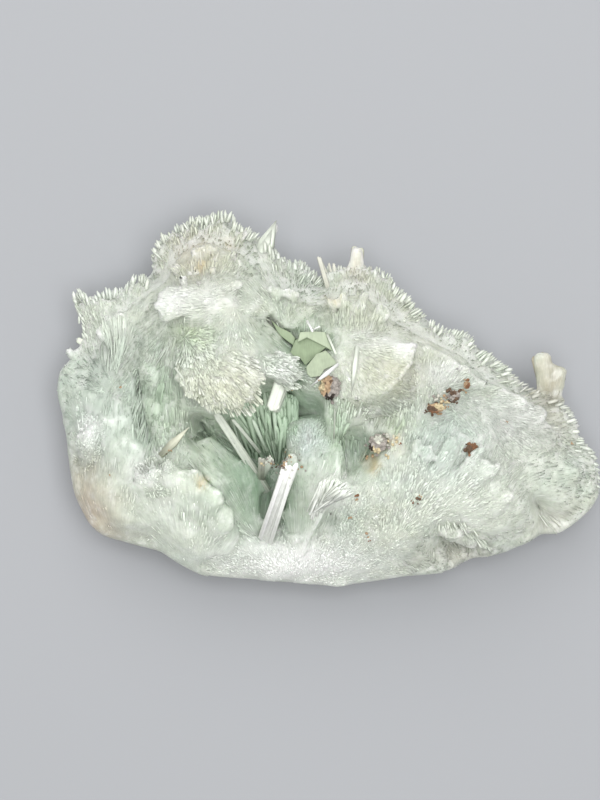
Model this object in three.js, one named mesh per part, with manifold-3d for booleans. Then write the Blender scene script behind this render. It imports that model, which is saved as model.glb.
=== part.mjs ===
// A hand specimen of pale green aragonite: sprays of needles grown round an open hollow.
// It lies on its broken back. +X is its long side, +Z is the way that the crystals face.
// Lengths are millimetres.
import * as THREE from "three";
import { ConvexGeometry } from "three/addons/geometries/ConvexGeometry.js";
import { mergeVertices } from "three/addons/utils/BufferGeometryUtils.js";
import Module from "manifold-3d";

// The mass
const MIDDLE = { x: -2, y: -3 };
const FACE_SIZE = { x: 78, y: 56 };
const CELL = 2.4;
const ROW_SHARE = 0.87;
const STRAY = [-0.22, 0.22];
const RIM_HEIGHT = 8.5;
const SHOULDER = 3.2;
const ROUGHNESS = [-0.5, 0.5];
const BLEND = 2.4;
const BANK_OF_HOLLOW = [-0.15, 0.55];
const FACE_SEED = 11;
const SIDE_SEED = 23;

// The sides, from the flat back up: share of the outline, height, and how far each may stray
const SIDE_RINGS = [
  { share: 0.84, height: 0, chip: 0.03, wave: 0 },
  { share: 0.95, height: 2.8, chip: 0.015, wave: 0.6 },
  { share: 1, height: 7, chip: 0, wave: 0.8 },
  { share: 1, height: 40, chip: 0, wave: 0 },
];

// A crystal: its sides, and its profile as shares of half its width and of its length
const SPRAY_CRYSTAL = { sides: 4, profile: [[0, 0], [1, 0.8], [0, 1]] };
const SINGLE_CRYSTAL = { sides: 6, profile: [[0, 0], [0.9, 0], [1, 0.93], [0.55, 1], [0, 1]] };
const FLATNESS = 0.5;

// A spray: how its crystals differ, as low and high values, and the solid fan under them
const EDGE_PLACE = [0.2, 0.8];
const FOOT_SHARE = [0.3, 0.5];
const SHORT_SHARE = [0.9, 0.96];
const WIDTH_SHARE = [0.8, 1.2];
const ROLL = [-0.8, 0.8];
const TIP_LIFT = [-0.6, 0.6];
const BODY_SHARE = 0.9;
const BODY_DEPTH = 2.5;
const BODY_STEPS = 6;
const SPRAY_SEED = 100;

// A grain of the brown mineral
const GRAIN_CORNERS = 16;
const GRAIN_SWELL = [0.85, 1.15];
const GRAIN_GAP = 0.3;
const GRAIN_SEED = 500;
const GOLDEN_TURN = Math.PI * (3 - Math.sqrt(5));

// The outline, clockwise from the left, seen from the front
const OUTLINE = [
  [-35.6, 1.6], [-34.8, 4], [-32.5, 6.5], [-32, 9.5], [-33, 13.4], [-30, 13.8], [-26.5, 14.8], [-23.2, 16.5],
  [-22.9, 19.5], [-20.4, 22.2], [-17.5, 23.6], [-13.8, 24], [-11, 22], [-8.5, 20.8], [-6.5, 18.5], [-3.8, 17.7],
  [-0.9, 15.4], [0.3, 17], [3, 17.6], [6, 16.8], [8.6, 14.4], [12, 10.9], [15, 9], [18, 8.2], [20, 6],
  [22.5, 4.2], [25.2, 1.8],
  [28.5, 0], [31, -1.4], [32.5, -4.4], [34.6, -7.2], [35.3, -10], [35.2, -12.5], [34, -14.3], [32, -16],
  [29.8, -17.5], [28.2, -17], [25, -18.7], [21.4, -20], [18, -20.6], [15.8, -22.3], [10, -22.8], [6, -23.6],
  [1.3, -24.3], [-2.7, -24],
  [-12.5, -23.2], [-17, -22.6], [-19.6, -21.2], [-22.2, -19.4], [-29.6, -17.6], [-31.4, -16], [-33.2, -12.5],
  [-34, -7.5], [-34.3, -4],
];

// The lumps of the face: middle, half sizes, height
const LUMPS = {
  topLeftLobe: { at: [-15.5, 17], size: [9, 8], height: 20 },
  saddle: { at: [-5.5, 12.5], size: [8, 6.5], height: 18 },
  brightShoulder: { at: [-17.5, 11.5], size: [9, 5], height: 23 },
  rightDome: { at: [4.5, 11], size: [9, 8], height: 21 },
  rightCrest: { at: [8, 4], size: [10, 6], height: 23.5 },
  leftSpur: { at: [-28.5, 9], size: [7, 7.5], height: 14.5 },
  neck: { at: [-21.5, 4.5], size: [7, 12], height: 20 },
  leftBody: { at: [-28.5, -6.5], size: [8.5, 14], height: 17 },
  innerCurtain: { at: [-20.8, -0.5], size: [5, 8], height: 18.5 },
  bottomLeft: { at: [-20.5, -14.5], size: [13, 9], height: 18.5 },
  rootZone: { at: [-4, -21.5], size: [17, 6], height: 15 },
  middleTuft: { at: [-14, 4], size: [6, 5], height: 24.5 },
  rightShoulder: { at: [18, 0], size: [10, 8], height: 19.5 },
  rightFan: { at: [15.5, -8.5], size: [13, 11], height: 19.5 },
  farRight: { at: [28, -6.5], size: [9, 9], height: 14.5 },
  lowerRight: { at: [10, -17], size: [11, 6.5], height: 16.5 },
  lowerMiddle: { at: [6, -9.5], size: [7, 9.5], height: 19 },
  cornerBulge: { at: [31.5, -13.5], size: [4, 4.5], height: 12.5 },
};

// The hollows: middle, half sizes, floor height, turn in degrees
const HOLLOWS = {
  mainHollow: { at: [-8, -7], size: [9.4, 9.3], floor: 10.5, turn: -28 },
  throat: { at: [-6.5, -14], size: [6.5, 6], floor: 11.5, turn: 0 },
  deepHole: { at: [-17, -4.2], size: [1.7, 2.6], floor: 8, turn: 20 },
  upperHole: { at: [-3, 6.4], size: [3.2, 2.2], floor: 13.5, turn: -35 },
  slit: { at: [-6, 8.7], size: [1.2, 2.8], floor: 14.5, turn: 45 },
  crack: { at: [-24.5, -1.6], size: [0.9, 5.2], floor: 15.5, turn: 12 },
  greenRecess: { at: [3, -6.5], size: [3, 3.4], floor: 15, turn: 0 },
  lowerRecess: { at: [16.8, -19.2], size: [3.6, 2.1], floor: 7.5, turn: -18 },
  cornerRecess: { at: [27.6, -14.4], size: [3.6, 1.7], floor: 8, turn: -32 },
  overhang: { at: [-5.5, -1.4], size: [4.6, 3.6], floor: 12.5, turn: 0 },
};

// The sprays: where the crystals spring from, and the edge that their tips reach, both as x, y, z
const SPRAYS = {
  lobeRim: {
    focus: [-16, 13, 14], count: 12, width: 2,
    edge: [[-24, 15.8, 10], [-23.8, 19.8, 11], [-21.2, 22.6, 12], [-18.2, 24.2, 12.5], [-14.2, 24.8, 13],
      [-10.5, 22.8, 13], [-8.8, 21, 13]],
  },
  lobeCrown: {
    focus: [-16, 12, 16], count: 8, width: 2,
    edge: [[-21.8, 17, 18], [-18.5, 20.5, 19.5], [-13.5, 21, 19.5], [-10, 18.5, 18.5]],
  },
  lobeHeart: {
    focus: [-16, 12, 17], count: 7, width: 2,
    edge: [[-20, 16, 22], [-17, 18, 23], [-13, 17.5, 23], [-10, 14.5, 21.5]],
  },
  saddleRim: {
    focus: [-6, 10, 14], count: 7, width: 1.8,
    edge: [[-8.8, 20.5, 13], [-6.5, 19.2, 12], [-4, 18.5, 12], [-1.8, 17, 12]],
  },
  saddleCrown: {
    focus: [-6, 9, 15], count: 5, width: 1.9,
    edge: [[-9, 15.5, 20], [-6, 15.5, 19], [-2.5, 14, 19]],
  },
  domeRim: {
    focus: [3, 7, 14], count: 11, width: 1.9,
    edge: [[-0.6, 17.6, 12], [2, 18.5, 12.5], [6, 18, 13], [9, 15.3, 13.5], [11.2, 12.8, 13.5],
      [12.8, 10.8, 13]],
  },
  domeCrown: {
    focus: [3, 6, 16], count: 8, width: 2,
    edge: [[-1.5, 13.5, 19], [2, 15, 20.5], [6, 14.5, 21], [9.5, 11.5, 20.5]],
  },
  ridgeRim: {
    focus: [9.5, -2, 13], count: 11, width: 2,
    edge: [[13, 10.8, 13], [15.8, 9.6, 12.5], [18.6, 9, 12], [20.8, 6.6, 12], [23.6, 4.6, 11.5],
      [26.4, 2, 11]],
  },
  ridgeCrown: {
    focus: [9.5, -3, 15], count: 8, width: 2.1,
    edge: [[12, 8.2, 20.5], [15.5, 7, 20], [19, 4.5, 19], [22.5, 1.5, 17.5]],
  },
  sideRim: {
    focus: [15, -5, 13], count: 9, width: 2.1,
    edge: [[27.5, 1, 10.5], [31, 0.6, 10.5], [33, -2, 10.5], [34.6, -5.5, 10], [35.8, -8, 9.5], [36, -11, 9]],
  },
  lowerRightRim: {
    focus: [16, -13, 12], count: 4, width: 2.2,
    edge: [[27.6, -17.8, 8.5], [25, -19.2, 9], [22.4, -20.2, 9.5], [20, -20, 10.5]],
  },
  hood: {
    focus: [8, -15, 14], count: 6, width: 2.4,
    edge: [[11.6, -18.4, 14], [15, -17.2, 15], [18.4, -18, 14.5], [21.2, -20, 12.5]],
  },
  leftRim: {
    focus: [-24, -2, 10], count: 7, width: 5,
    edge: [[-35, 5, 9.5], [-36.4, 1.8, 9], [-35.2, -3.5, 8.5], [-34.4, -8, 8], [-32.8, -14, 8],
      [-30.5, -17.4, 8]],
  },
  spurRim: {
    focus: [-27, 2, 10], count: 11, width: 1.9,
    edge: [[-34, 6.6, 9.5], [-32.8, 8.8, 9.5], [-32.6, 11, 10], [-34, 14, 10], [-31.5, 14.3, 11],
      [-28, 15.4, 12], [-25.5, 16.8, 12], [-24, 15.6, 12.5]],
  },
  spurCrown: {
    focus: [-26.5, 2, 13], count: 6, width: 2,
    edge: [[-31.5, 9.5, 14.5], [-30, 11.8, 15], [-26, 13, 16]],
  },
  brightBank: {
    focus: [-10, 12.5, 19], count: 6, width: 2,
    edge: [[-22.5, 9.6, 22.5], [-24, 12.4, 22], [-23, 15, 20.5]],
  },
  middleTuft: {
    focus: [-18.5, 7, 20], count: 12, width: 2, body: true,
    edge: [[-19.8, 2.5, 23], [-17.5, -0.5, 25], [-14.5, -2.2, 26], [-11.5, -2.2, 26.3], [-8.5, -0.6, 26],
      [-7.8, 2, 25.5], [-9, 4.8, 25]],
  },
  whiteTuft: {
    focus: [-10, 5, 20.5], count: 7, width: 1.5, body: true,
    edge: [[-6.5, 6.2, 24], [-4, 5, 25], [-3.4, 3, 25], [-5, 1, 24]],
  },
  rightCrest: {
    focus: [1, 6.8, 19], count: 10, width: 2, body: true,
    edge: [[12.2, 7.6, 22.8], [11.4, 4.2, 23.6], [8.4, 1, 23.6], [5.5, -0.5, 23], [2.8, -0.4, 22.2]],
  },
  shoulderFan: {
    focus: [13, 1, 18], count: 8, width: 2.2,
    edge: [[22.5, 2, 18], [26, 0, 16.5], [30, -3.6, 14], [31, -8, 13]],
  },
  rightFan: {
    focus: [8, -19, 14], count: 11, width: 2.2,
    edge: [[10.5, -4.5, 22], [14.5, -3.5, 23], [19, -4.5, 22], [22.6, -8.3, 20.5], [24.5, -12.5, 18],
      [23.5, -15.8, 15.5]],
  },
  rootSpray: {
    focus: [2, -22, 12], count: 7, width: 1.8,
    edge: [[2.5, -14, 18.5], [5, -11.5, 21], [8, -11, 21.5]],
  },
  smallFan: {
    focus: [-1.9, -14.2, 15], count: 6, width: 1.4, body: true,
    edge: [[-1.8, -10.6, 20.5], [0.2, -9.4, 21.5], [2, -10.4, 21.5], [2.9, -11.8, 21]],
  },
  lowerSheet: {
    focus: [-18.5, -20, 11], count: 10, width: 2.6, body: true,
    edge: [[-26, -9, 19], [-22, -7.2, 20.5], [-19, -7.8, 21], [-15.5, -9.8, 21], [-13.3, -13.2, 19.5],
      [-12, -16.5, 17.5]],
  },
  beigeSpikes: {
    focus: [-20.5, -10, 17], count: 4, width: 1.4,
    edge: [[-22.4, -4.6, 22.5], [-19.8, -4, 23.5], [-17.2, -3.2, 23.5]],
  },
  innerCurtain: {
    focus: [-20.5, 7, 21], count: 5, width: 2,
    edge: [[-24.6, -5, 15], [-21.5, -6.5, 15], [-19.2, -4, 15]],
  },
  backFibres: {
    focus: [-6, -16, 5], count: 5, width: 2.2,
    edge: [[-13, -1.5, 12.5], [-9, -0.5, 13], [-5, -1.5, 13], [-2, -2.5, 14]],
  },
  standingColumns: {
    focus: [0.5, -10, 14], count: 4, width: 1.5,
    edge: [[-1, -0.6, 19.5], [0.6, 0, 20.5], [2.4, -0.6, 21]],
  },
  leftBody: {
    focus: [-28, -20, 8], count: 5, width: 3.4,
    edge: [[-33, -4, 13.5], [-30.5, -1.5, 16], [-27.5, -2.5, 17.5], [-25.6, -6, 18]],
  },
};

// The smooth sheets that stand in the hollows: corners of the front side, and the depth behind it
const SHEETS = {
  leftSheet: {
    depth: 4,
    front: [[-19, -6, 16.5], [-15.6, -4.6, 15], [-9.4, -9.6, 13.5], [-9, -18.6, 12], [-12.6, -16.8, 15],
      [-15.4, -10.6, 18]],
  },
  rightSheet: {
    depth: 4,
    front: [[-5.4, -8, 15.5], [1.2, -6.5, 18.5], [1.4, -9.5, 18.5], [-1.2, -15.5, 17.5], [-4.2, -21, 13],
      [-6, -16.5, 13]],
  },
  bluishSheet: {
    depth: 6,
    front: [[-5.4, -2.8, 14.5], [-0.8, -2.6, 16.5], [1, -4.5, 17.8], [1, -8, 18], [-5.2, -8.5, 15]],
  },
  greenFacet: {
    depth: 5,
    front: [[-5.4, 7.9, 16.5], [-2.9, 8.6, 18], [-0.1, 6.9, 18.5], [-3.3, 4.2, 15.5]],
  },
  paleFacet: {
    depth: 5,
    front: [[-3.6, 4.2, 17.5], [-0.3, 6.5, 20], [0.8, 5.2, 20.5], [-2.6, 2.5, 18.5]],
  },
};

// Crystals that stand alone: foot, tip, width
const SINGLE_CRYSTALS = {
  topSpike: { foot: [-9, 17, 12], tip: [-7, 23.4, 12], width: 1.4 },
  thinSpike: { foot: [0, 13.5, 13], tip: [-1.6, 18.9, 13.5], width: 0.9 },
  topColumn: { foot: [3, 13, 12], tip: [3.6, 20.2, 12], width: 2.4 },
  stubPrism: { foot: [-5.5, 4, 20.5], tip: [-7.4, -1.6, 21.5], width: 2.6 },
  whiteBar: { foot: [-9.3, -20.5, 8.5], tip: [-4.8, -6.8, 20.5], width: 2.3 },
  paleBar: { foot: [-8.2, -12, 12], tip: [-14.8, -1.6, 18.5], width: 1.4 },
  spurColumn: { foot: [29, -3, 9.5], tip: [27.8, 6.4, 10.5], width: 3 },
  spurWing: { foot: [28.8, -3, 9], tip: [30.2, 4.6, 10], width: 3 },
  clearSpurUpper: { foot: [-28, 5, 9], tip: [-34, 8.3, 9.5], width: 1.2 },
  clearSpurLower: { foot: [-28, 3.5, 9], tip: [-35, 6.6, 9.5], width: 1.3 },
  strandLeft: { foot: [1.2, 6.5, 21], tip: [1.6, -0.2, 23], width: 1.1 },
  strandRight: { foot: [2.4, 6.5, 21], tip: [3.4, -0.6, 23.5], width: 1.2 },
};

// The grains of brown mineral: place on the face, half sizes, how far the middle stands out of it, colour
const GRAINS = {
  brown_nodule: { at: [-0.3, 1.6], half: [1.5, 1.65, 1.5], out: -0.2, colour: 0x8a6a52 },
  grey_pebble: { at: [5.9, -5.6], half: [1.5, 1.45, 1.3], out: 0.5, colour: 0x8f8a84 },
  ore_grain_lower: { at: [13.3, -1.1], half: [1.25, 0.75, 0.8], out: 0.5, colour: 0x6d5646 },
  ore_grain_middle: { at: [15.7, 0.5], half: [0.95, 0.95, 0.8], out: 0.4, colour: 0x7d756e },
  ore_grain_upper: { at: [17.3, 1.9], half: [0.5, 0.6, 0.7], out: 0.4, colour: 0x6b4a35 },
  rust_grain: { at: [18.1, -6.2], half: [0.95, 0.9, 0.8], out: 0.6, colour: 0x7a4f31 },
};

const ARAGONITE = { color: 0xd9e6dd, roughness: 0.55 };
const UP = new THREE.Vector3(0, 1, 0);
const wasm = await Module();
wasm.setup();

// A row of chance numbers that is the same each time, each between a low and a high value
function chanceRow(seed) {
  let state = seed;
  return ([low, high]) => {
    state = (state * 1664525 + 1013904223) % 4294967296;
    return low + ((high - low) * state) / 4294967296;
  };
}

// A closed geometry as a solid that can be joined and cut
function solidOf(geometry) {
  geometry.deleteAttribute("normal");
  geometry.deleteAttribute("uv");
  const merged = mergeVertices(geometry, 1e-4);
  return new wasm.Manifold(new wasm.Mesh({
    numProp: 3,
    vertProperties: new Float32Array(merged.attributes.position.array),
    triVerts: new Uint32Array(merged.index.array),
  }));
}

// A solid as a geometry with flat faces
function geometryOf(solid) {
  const mesh = solid.getMesh();
  const geometry = new THREE.BufferGeometry();
  geometry.setAttribute("position", new THREE.BufferAttribute(new Float32Array(mesh.vertProperties), 3));
  geometry.setIndex(new THREE.BufferAttribute(new Uint32Array(mesh.triVerts), 1));
  geometry.computeVertexNormals();
  return geometry;
}

// The outer skin of a solid, without the pockets sealed inside it and without loose splinters
function outerShell(solid) {
  const mesh = solid.getMesh();
  const corners = Array.from(mesh.triVerts);
  const owner = Array.from({ length: mesh.numVert }, (_, vertex) => vertex);
  const rootOf = (vertex) => {
    let root = vertex;
    while (owner[root] !== root) {
      owner[root] = owner[owner[root]];
      root = owner[root];
    }
    return root;
  };
  for (let i = 0; i < corners.length; i += 3) {
    owner[rootOf(corners[i + 1])] = rootOf(corners[i]);
    owner[rootOf(corners[i + 2])] = rootOf(corners[i]);
  }
  const sizes = new Map();
  corners.forEach((vertex) => sizes.set(rootOf(vertex), (sizes.get(rootOf(vertex)) ?? 0) + 1));
  const largest = [...sizes.entries()].sort((a, b) => b[1] - a[1])[0][0];
  const kept = [];
  for (let i = 0; i < corners.length; i += 3) {
    if (rootOf(corners[i]) === largest) {
      kept.push(corners[i], corners[i + 1], corners[i + 2]);
    }
  }
  const geometry = new THREE.BufferGeometry();
  geometry.setAttribute("position", new THREE.Float32BufferAttribute(mesh.vertProperties, 3));
  geometry.setIndex(kept);
  return solidOf(geometry.toNonIndexed());
}

// How deep a point lies in an oval: 1 in the middle, 0 on its edge, below 0 outside
function ovalDepth(x, y, oval) {
  const turn = THREE.MathUtils.degToRad(oval.turn ?? 0);
  const dx = x - oval.at[0];
  const dy = y - oval.at[1];
  const along = (dx * Math.cos(turn) + dy * Math.sin(turn)) / oval.size[0];
  const across = (dy * Math.cos(turn) - dx * Math.sin(turn)) / oval.size[1];
  return 1 - along * along - across * across;
}

// The height of the face, before the rim falls away
function faceHeight(x, y) {
  let total = 0;
  let weight = 0;
  for (const lump of Object.values(LUMPS)) {
    const pull = Math.exp(BLEND * ovalDepth(x, y, lump));
    total += pull * lump.height;
    weight += pull;
  }
  let height = total / weight;
  for (const hollow of Object.values(HOLLOWS)) {
    const share = THREE.MathUtils.smoothstep(ovalDepth(x, y, hollow), ...BANK_OF_HOLLOW);
    height -= Math.max(height - hollow.floor, 0) * share;
  }
  return height;
}

// The distance from a point to the outline, for a point inside it
function distanceToOutline(x, y) {
  const point = new THREE.Vector3(x, y, 0);
  const nearest = new THREE.Vector3();
  let distance = Infinity;
  for (let i = 0; i < OUTLINE.length; i += 1) {
    const from = new THREE.Vector3(...OUTLINE[i], 0);
    const to = new THREE.Vector3(...OUTLINE[(i + 1) % OUTLINE.length], 0);
    new THREE.Line3(from, to).closestPointToPoint(point, true, nearest);
    distance = Math.min(distance, nearest.distanceTo(point));
  }
  return distance;
}

// A block whose top is the face, on a lattice of staggered rows
function faceSolid() {
  const chance = chanceRow(FACE_SEED);
  const columns = Math.ceil(FACE_SIZE.x / CELL);
  const rows = Math.ceil(FACE_SIZE.y / (CELL * ROW_SHARE));
  const stride = columns + 1;
  const top = [];
  const bottom = [];
  for (let row = 0; row <= rows; row += 1) {
    for (let column = 0; column <= columns; column += 1) {
      const onBorder = row === 0 || row === rows || column === 0 || column === columns;
      const slide = onBorder ? 0 : (row % 2) * 0.5 + chance(STRAY);
      const climb = onBorder ? 0 : chance(STRAY);
      const x = (column + slide) * CELL - FACE_SIZE.x / 2;
      const y = (row + climb) * CELL * ROW_SHARE - FACE_SIZE.y / 2;
      const rise = 1 - Math.exp(-distanceToOutline(x, y) / SHOULDER);
      top.push(x, y, THREE.MathUtils.lerp(RIM_HEIGHT, faceHeight(x, y), rise) + chance(ROUGHNESS));
      bottom.push(x, y, -1);
    }
  }
  const under = top.length / 3;
  const faces = [];
  for (let row = 0; row < rows; row += 1) {
    for (let column = 0; column < columns; column += 1) {
      const a = row * stride + column;
      const b = a + 1;
      const c = a + stride;
      const d = c + 1;
      const cell = row % 2 === 0 ? [a, b, c, b, d, c] : [a, b, d, a, d, c];
      faces.push(...cell, ...cell.toReversed().map((corner) => corner + under));
    }
  }
  const wall = (from, to) => faces.push(from, to, to + under, from, to + under, from + under);
  for (let column = 0; column < columns; column += 1) {
    wall(column + 1, column);
    wall(rows * stride + column, rows * stride + column + 1);
  }
  for (let row = 0; row < rows; row += 1) {
    wall(row * stride, (row + 1) * stride);
    wall((row + 1) * stride + columns, row * stride + columns);
  }
  const geometry = new THREE.BufferGeometry();
  geometry.setAttribute("position", new THREE.Float32BufferAttribute([...top, ...bottom], 3));
  geometry.setIndex(faces);
  return solidOf(geometry);
}

// The sides of the specimen: the outline, drawn in below the rim to the flat broken back
function sideSolid() {
  const chance = chanceRow(SIDE_SEED);
  const sectors = OUTLINE.length;
  const points = [];
  for (const ring of SIDE_RINGS) {
    for (const [x, y] of OUTLINE) {
      const share = ring.share + chance([-ring.chip, ring.chip]);
      const height = ring.height + chance([-ring.wave, ring.wave]);
      points.push(MIDDLE.x + (x - MIDDLE.x) * share, MIDDLE.y + (y - MIDDLE.y) * share, height);
    }
  }
  const faces = [];
  for (let ring = 0; ring + 1 < SIDE_RINGS.length; ring += 1) {
    for (let sector = 0; sector < sectors; sector += 1) {
      const a = ring * sectors + sector;
      const b = ring * sectors + ((sector + 1) % sectors);
      faces.push(a, a + sectors, b + sectors, a, b + sectors, b);
    }
  }
  const last = (SIDE_RINGS.length - 1) * sectors;
  const flat = (from) => OUTLINE.map((_, i) => new THREE.Vector2().fromArray(points, 3 * (from + i)));
  for (const [a, b, c] of THREE.ShapeUtils.triangulateShape(flat(0), [])) {
    faces.push(a, c, b);
  }
  for (const [a, b, c] of THREE.ShapeUtils.triangulateShape(flat(last), [])) {
    faces.push(last + a, last + b, last + c);
  }
  const geometry = new THREE.BufferGeometry();
  geometry.setAttribute("position", new THREE.Float32BufferAttribute(points, 3));
  geometry.setIndex(faces);
  return solidOf(geometry);
}

// One flat crystal from foot to tip, turned about its length by roll
function crystalSolid(foot, tip, width, roll, shape) {
  const length = foot.distanceTo(tip);
  const profile = shape.profile.map(([out, along]) => new THREE.Vector2((out * width) / 2, along * length));
  const geometry = new THREE.LatheGeometry(profile, shape.sides);
  geometry.scale(1, 1, FLATNESS);
  geometry.rotateY(roll);
  const direction = new THREE.Vector3().subVectors(tip, foot).normalize();
  geometry.applyQuaternion(new THREE.Quaternion().setFromUnitVectors(UP, direction));
  geometry.translate(foot.x, foot.y, foot.z);
  return solidOf(geometry);
}

// A spray: crystals from one focus, with their tips spread along an edge, every second one shorter
function spraySolids(spray, seed) {
  const chance = chanceRow(seed);
  const focus = new THREE.Vector3(...spray.focus);
  const edge = new THREE.CatmullRomCurve3(spray.edge.map((point) => new THREE.Vector3(...point)));
  const crystals = [];
  for (let i = 0; i < spray.count; i += 1) {
    const end = edge.getPointAt((i + chance(EDGE_PLACE)) / spray.count);
    const tip = focus.clone().lerp(end, i % 2 === 0 ? 1 : chance(SHORT_SHARE));
    tip.z += chance(TIP_LIFT);
    const foot = focus.clone().lerp(end, chance(FOOT_SHARE));
    const width = spray.width * chance(WIDTH_SHARE);
    crystals.push(crystalSolid(foot, tip, width, chance(ROLL), SPRAY_CRYSTAL));
  }
  if (spray.body) {
    crystals.push(bodySolid(focus, edge));
  }
  return crystals;
}

// The solid fan that the crystals of a spray grow out of
function bodySolid(focus, edge) {
  const corners = [focus];
  for (const point of edge.getPoints(BODY_STEPS)) {
    const front = focus.clone().lerp(point, BODY_SHARE);
    const back = focus.clone().lerp(point, BODY_SHARE / 2);
    back.z -= BODY_DEPTH;
    corners.push(front, back);
  }
  return solidOf(new ConvexGeometry(corners));
}

// A flat sheet with the given corners, and its depth behind them
function sheetSolid(sheet) {
  const front = sheet.front.map((corner) => new THREE.Vector3(...corner));
  const back = front.map((corner) => corner.clone().setZ(corner.z - sheet.depth));
  return solidOf(new ConvexGeometry([...front, ...back]));
}

// A rough grain: the hull of points spread over an oval, swollen by extra
function grainSolid(grain, seed, extra) {
  const chance = chanceRow(seed);
  const height = faceHeight(...grain.at) + grain.out;
  const corners = [];
  for (let i = 0; i < GRAIN_CORNERS; i += 1) {
    const rise = 1 - (2 * (i + 0.5)) / GRAIN_CORNERS;
    const round = Math.sqrt(1 - rise * rise);
    const swell = chance(GRAIN_SWELL);
    corners.push(new THREE.Vector3(
      grain.at[0] + Math.cos(i * GOLDEN_TURN) * round * (grain.half[0] * swell + extra),
      grain.at[1] + Math.sin(i * GOLDEN_TURN) * round * (grain.half[1] * swell + extra),
      height + rise * (grain.half[2] * swell + extra),
    ));
  }
  return solidOf(new ConvexGeometry(corners));
}

// A named piece of the group
function piece(name, solid, shift, finish) {
  const material = new THREE.MeshStandardMaterial({ ...finish, metalness: 0, flatShading: true });
  const mesh = new THREE.Mesh(geometryOf(solid), material);
  mesh.name = name;
  mesh.position.copy(shift);
  return mesh;
}

// The whole mass: face, sides, sprays, single crystals and sheets, less the seats of the grains
function clusterSolid() {
  let cluster = faceSolid().intersect(sideSolid());
  Object.values(SPRAYS).forEach((spray, number) => {
    for (const crystal of spraySolids(spray, SPRAY_SEED + number)) {
      cluster = cluster.add(crystal);
    }
  });
  for (const single of Object.values(SINGLE_CRYSTALS)) {
    const foot = new THREE.Vector3(...single.foot);
    const tip = new THREE.Vector3(...single.tip);
    cluster = cluster.add(crystalSolid(foot, tip, single.width, 0, SINGLE_CRYSTAL));
  }
  for (const sheet of Object.values(SHEETS)) {
    cluster = cluster.add(sheetSolid(sheet));
  }
  Object.values(GRAINS).forEach((grain, number) => {
    cluster = cluster.subtract(grainSolid(grain, GRAIN_SEED + number, GRAIN_GAP));
  });
  return outerShell(cluster);
}

const group = new THREE.Group();
const cluster = clusterSolid();
const box = new THREE.Box3().setFromBufferAttribute(geometryOf(cluster).attributes.position);
const shift = box.getCenter(new THREE.Vector3()).negate().setZ(-box.min.z);
group.add(piece("aragonite_cluster", cluster, shift, ARAGONITE));
Object.entries(GRAINS).forEach(([name, grain], number) => {
  const finish = { color: grain.colour, roughness: 0.9 };
  group.add(piece(name, grainSolid(grain, GRAIN_SEED + number, 0), shift, finish));
});

export default group;
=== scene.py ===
"""The looks of a pale green aragonite specimen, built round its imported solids.

The solids give the lumps, hollows, sheets and main blades. This script remakes the cluster's surface from
its solid and lays fibres, teeth and blades on it, spray by spray: each has a focus that its crystals spring
from and an edge that their tips reach. Places on the specimen are in millimetres in the part's own frame.
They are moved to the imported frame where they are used, and turned into metres where a mesh is made.
"""
import logging
import math
from collections.abc import Iterator
from contextlib import contextmanager
from dataclasses import dataclass
from enum import Enum

import bpy
import numpy as np
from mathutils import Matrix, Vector, kdtree, noise
from mathutils.bvhtree import BVHTree


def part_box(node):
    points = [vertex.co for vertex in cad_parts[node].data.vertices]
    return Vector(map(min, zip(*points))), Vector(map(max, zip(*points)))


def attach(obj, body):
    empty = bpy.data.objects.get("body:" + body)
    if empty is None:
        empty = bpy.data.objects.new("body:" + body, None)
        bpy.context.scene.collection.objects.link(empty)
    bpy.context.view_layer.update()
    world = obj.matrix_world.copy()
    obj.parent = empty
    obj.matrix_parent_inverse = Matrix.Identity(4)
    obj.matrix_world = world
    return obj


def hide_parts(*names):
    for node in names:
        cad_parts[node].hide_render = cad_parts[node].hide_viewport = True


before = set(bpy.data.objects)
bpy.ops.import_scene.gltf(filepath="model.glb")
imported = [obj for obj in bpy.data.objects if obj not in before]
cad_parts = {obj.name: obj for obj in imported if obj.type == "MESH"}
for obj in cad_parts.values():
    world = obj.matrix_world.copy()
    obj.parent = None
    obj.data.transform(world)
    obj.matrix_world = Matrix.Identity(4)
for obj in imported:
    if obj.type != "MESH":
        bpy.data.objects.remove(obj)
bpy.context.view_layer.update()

LOG = logging.getLogger("aragonite")
MM = 0.001
SEED = 7
MIDDLE_SHIFT = np.array((-0.19, -0.24, 0.0))  # from the part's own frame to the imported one, mm
SEAT = 0.3  # the flat seat stays as it is up to here, mm
BLADE_ROOM = 0.55  # no fibre grows this near a blade, as a share of its width
GRAIN_ROOM = 1.15  # nor this near a grain, as a share of its half size
BRIGHTEST = 0.95
Triple = tuple[float, float, float]
Pattern = tuple[np.ndarray, list[np.ndarray]]


def linear(red: int, green: int, blue: int) -> Triple:
    """A colour as seen, 0 to 255, as the linear shares that a shader takes."""
    return tuple(((c / 255 + 0.055) / 1.055) ** 2.4 for c in (red, green, blue))


class Tone(Enum):
    """The colours of the mineral, which a few stains also lay on as painted shade, painted highlight and
    painted reflection.
    """

    SNOW = linear(246, 248, 244)
    WHITE = linear(236, 238, 235)
    PALE = linear(218, 224, 212)
    CREAM = linear(200, 202, 182)
    BEIGE = linear(190, 177, 158)
    MIST = linear(200, 206, 191)
    LEAF = linear(192, 214, 188)
    AQUA = linear(173, 189, 178)
    MINT = linear(172, 194, 168)
    DEEP = linear(132, 159, 134)
    OLIVE = linear(166, 182, 146)
    JADE = linear(166, 178, 153)
    MOSS = linear(138, 153, 124)
    BLUE = linear(220, 230, 226)
    GREY = linear(190, 190, 179)
    BUFF = linear(158, 152, 134)
    SAND = linear(196, 182, 148)
    TAN = linear(166, 142, 114)
    RUST = linear(126, 90, 64)
    BROWN = linear(98, 78, 62)
    STONE = linear(148, 142, 136)
    BLACK = linear(52, 44, 38)


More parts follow.
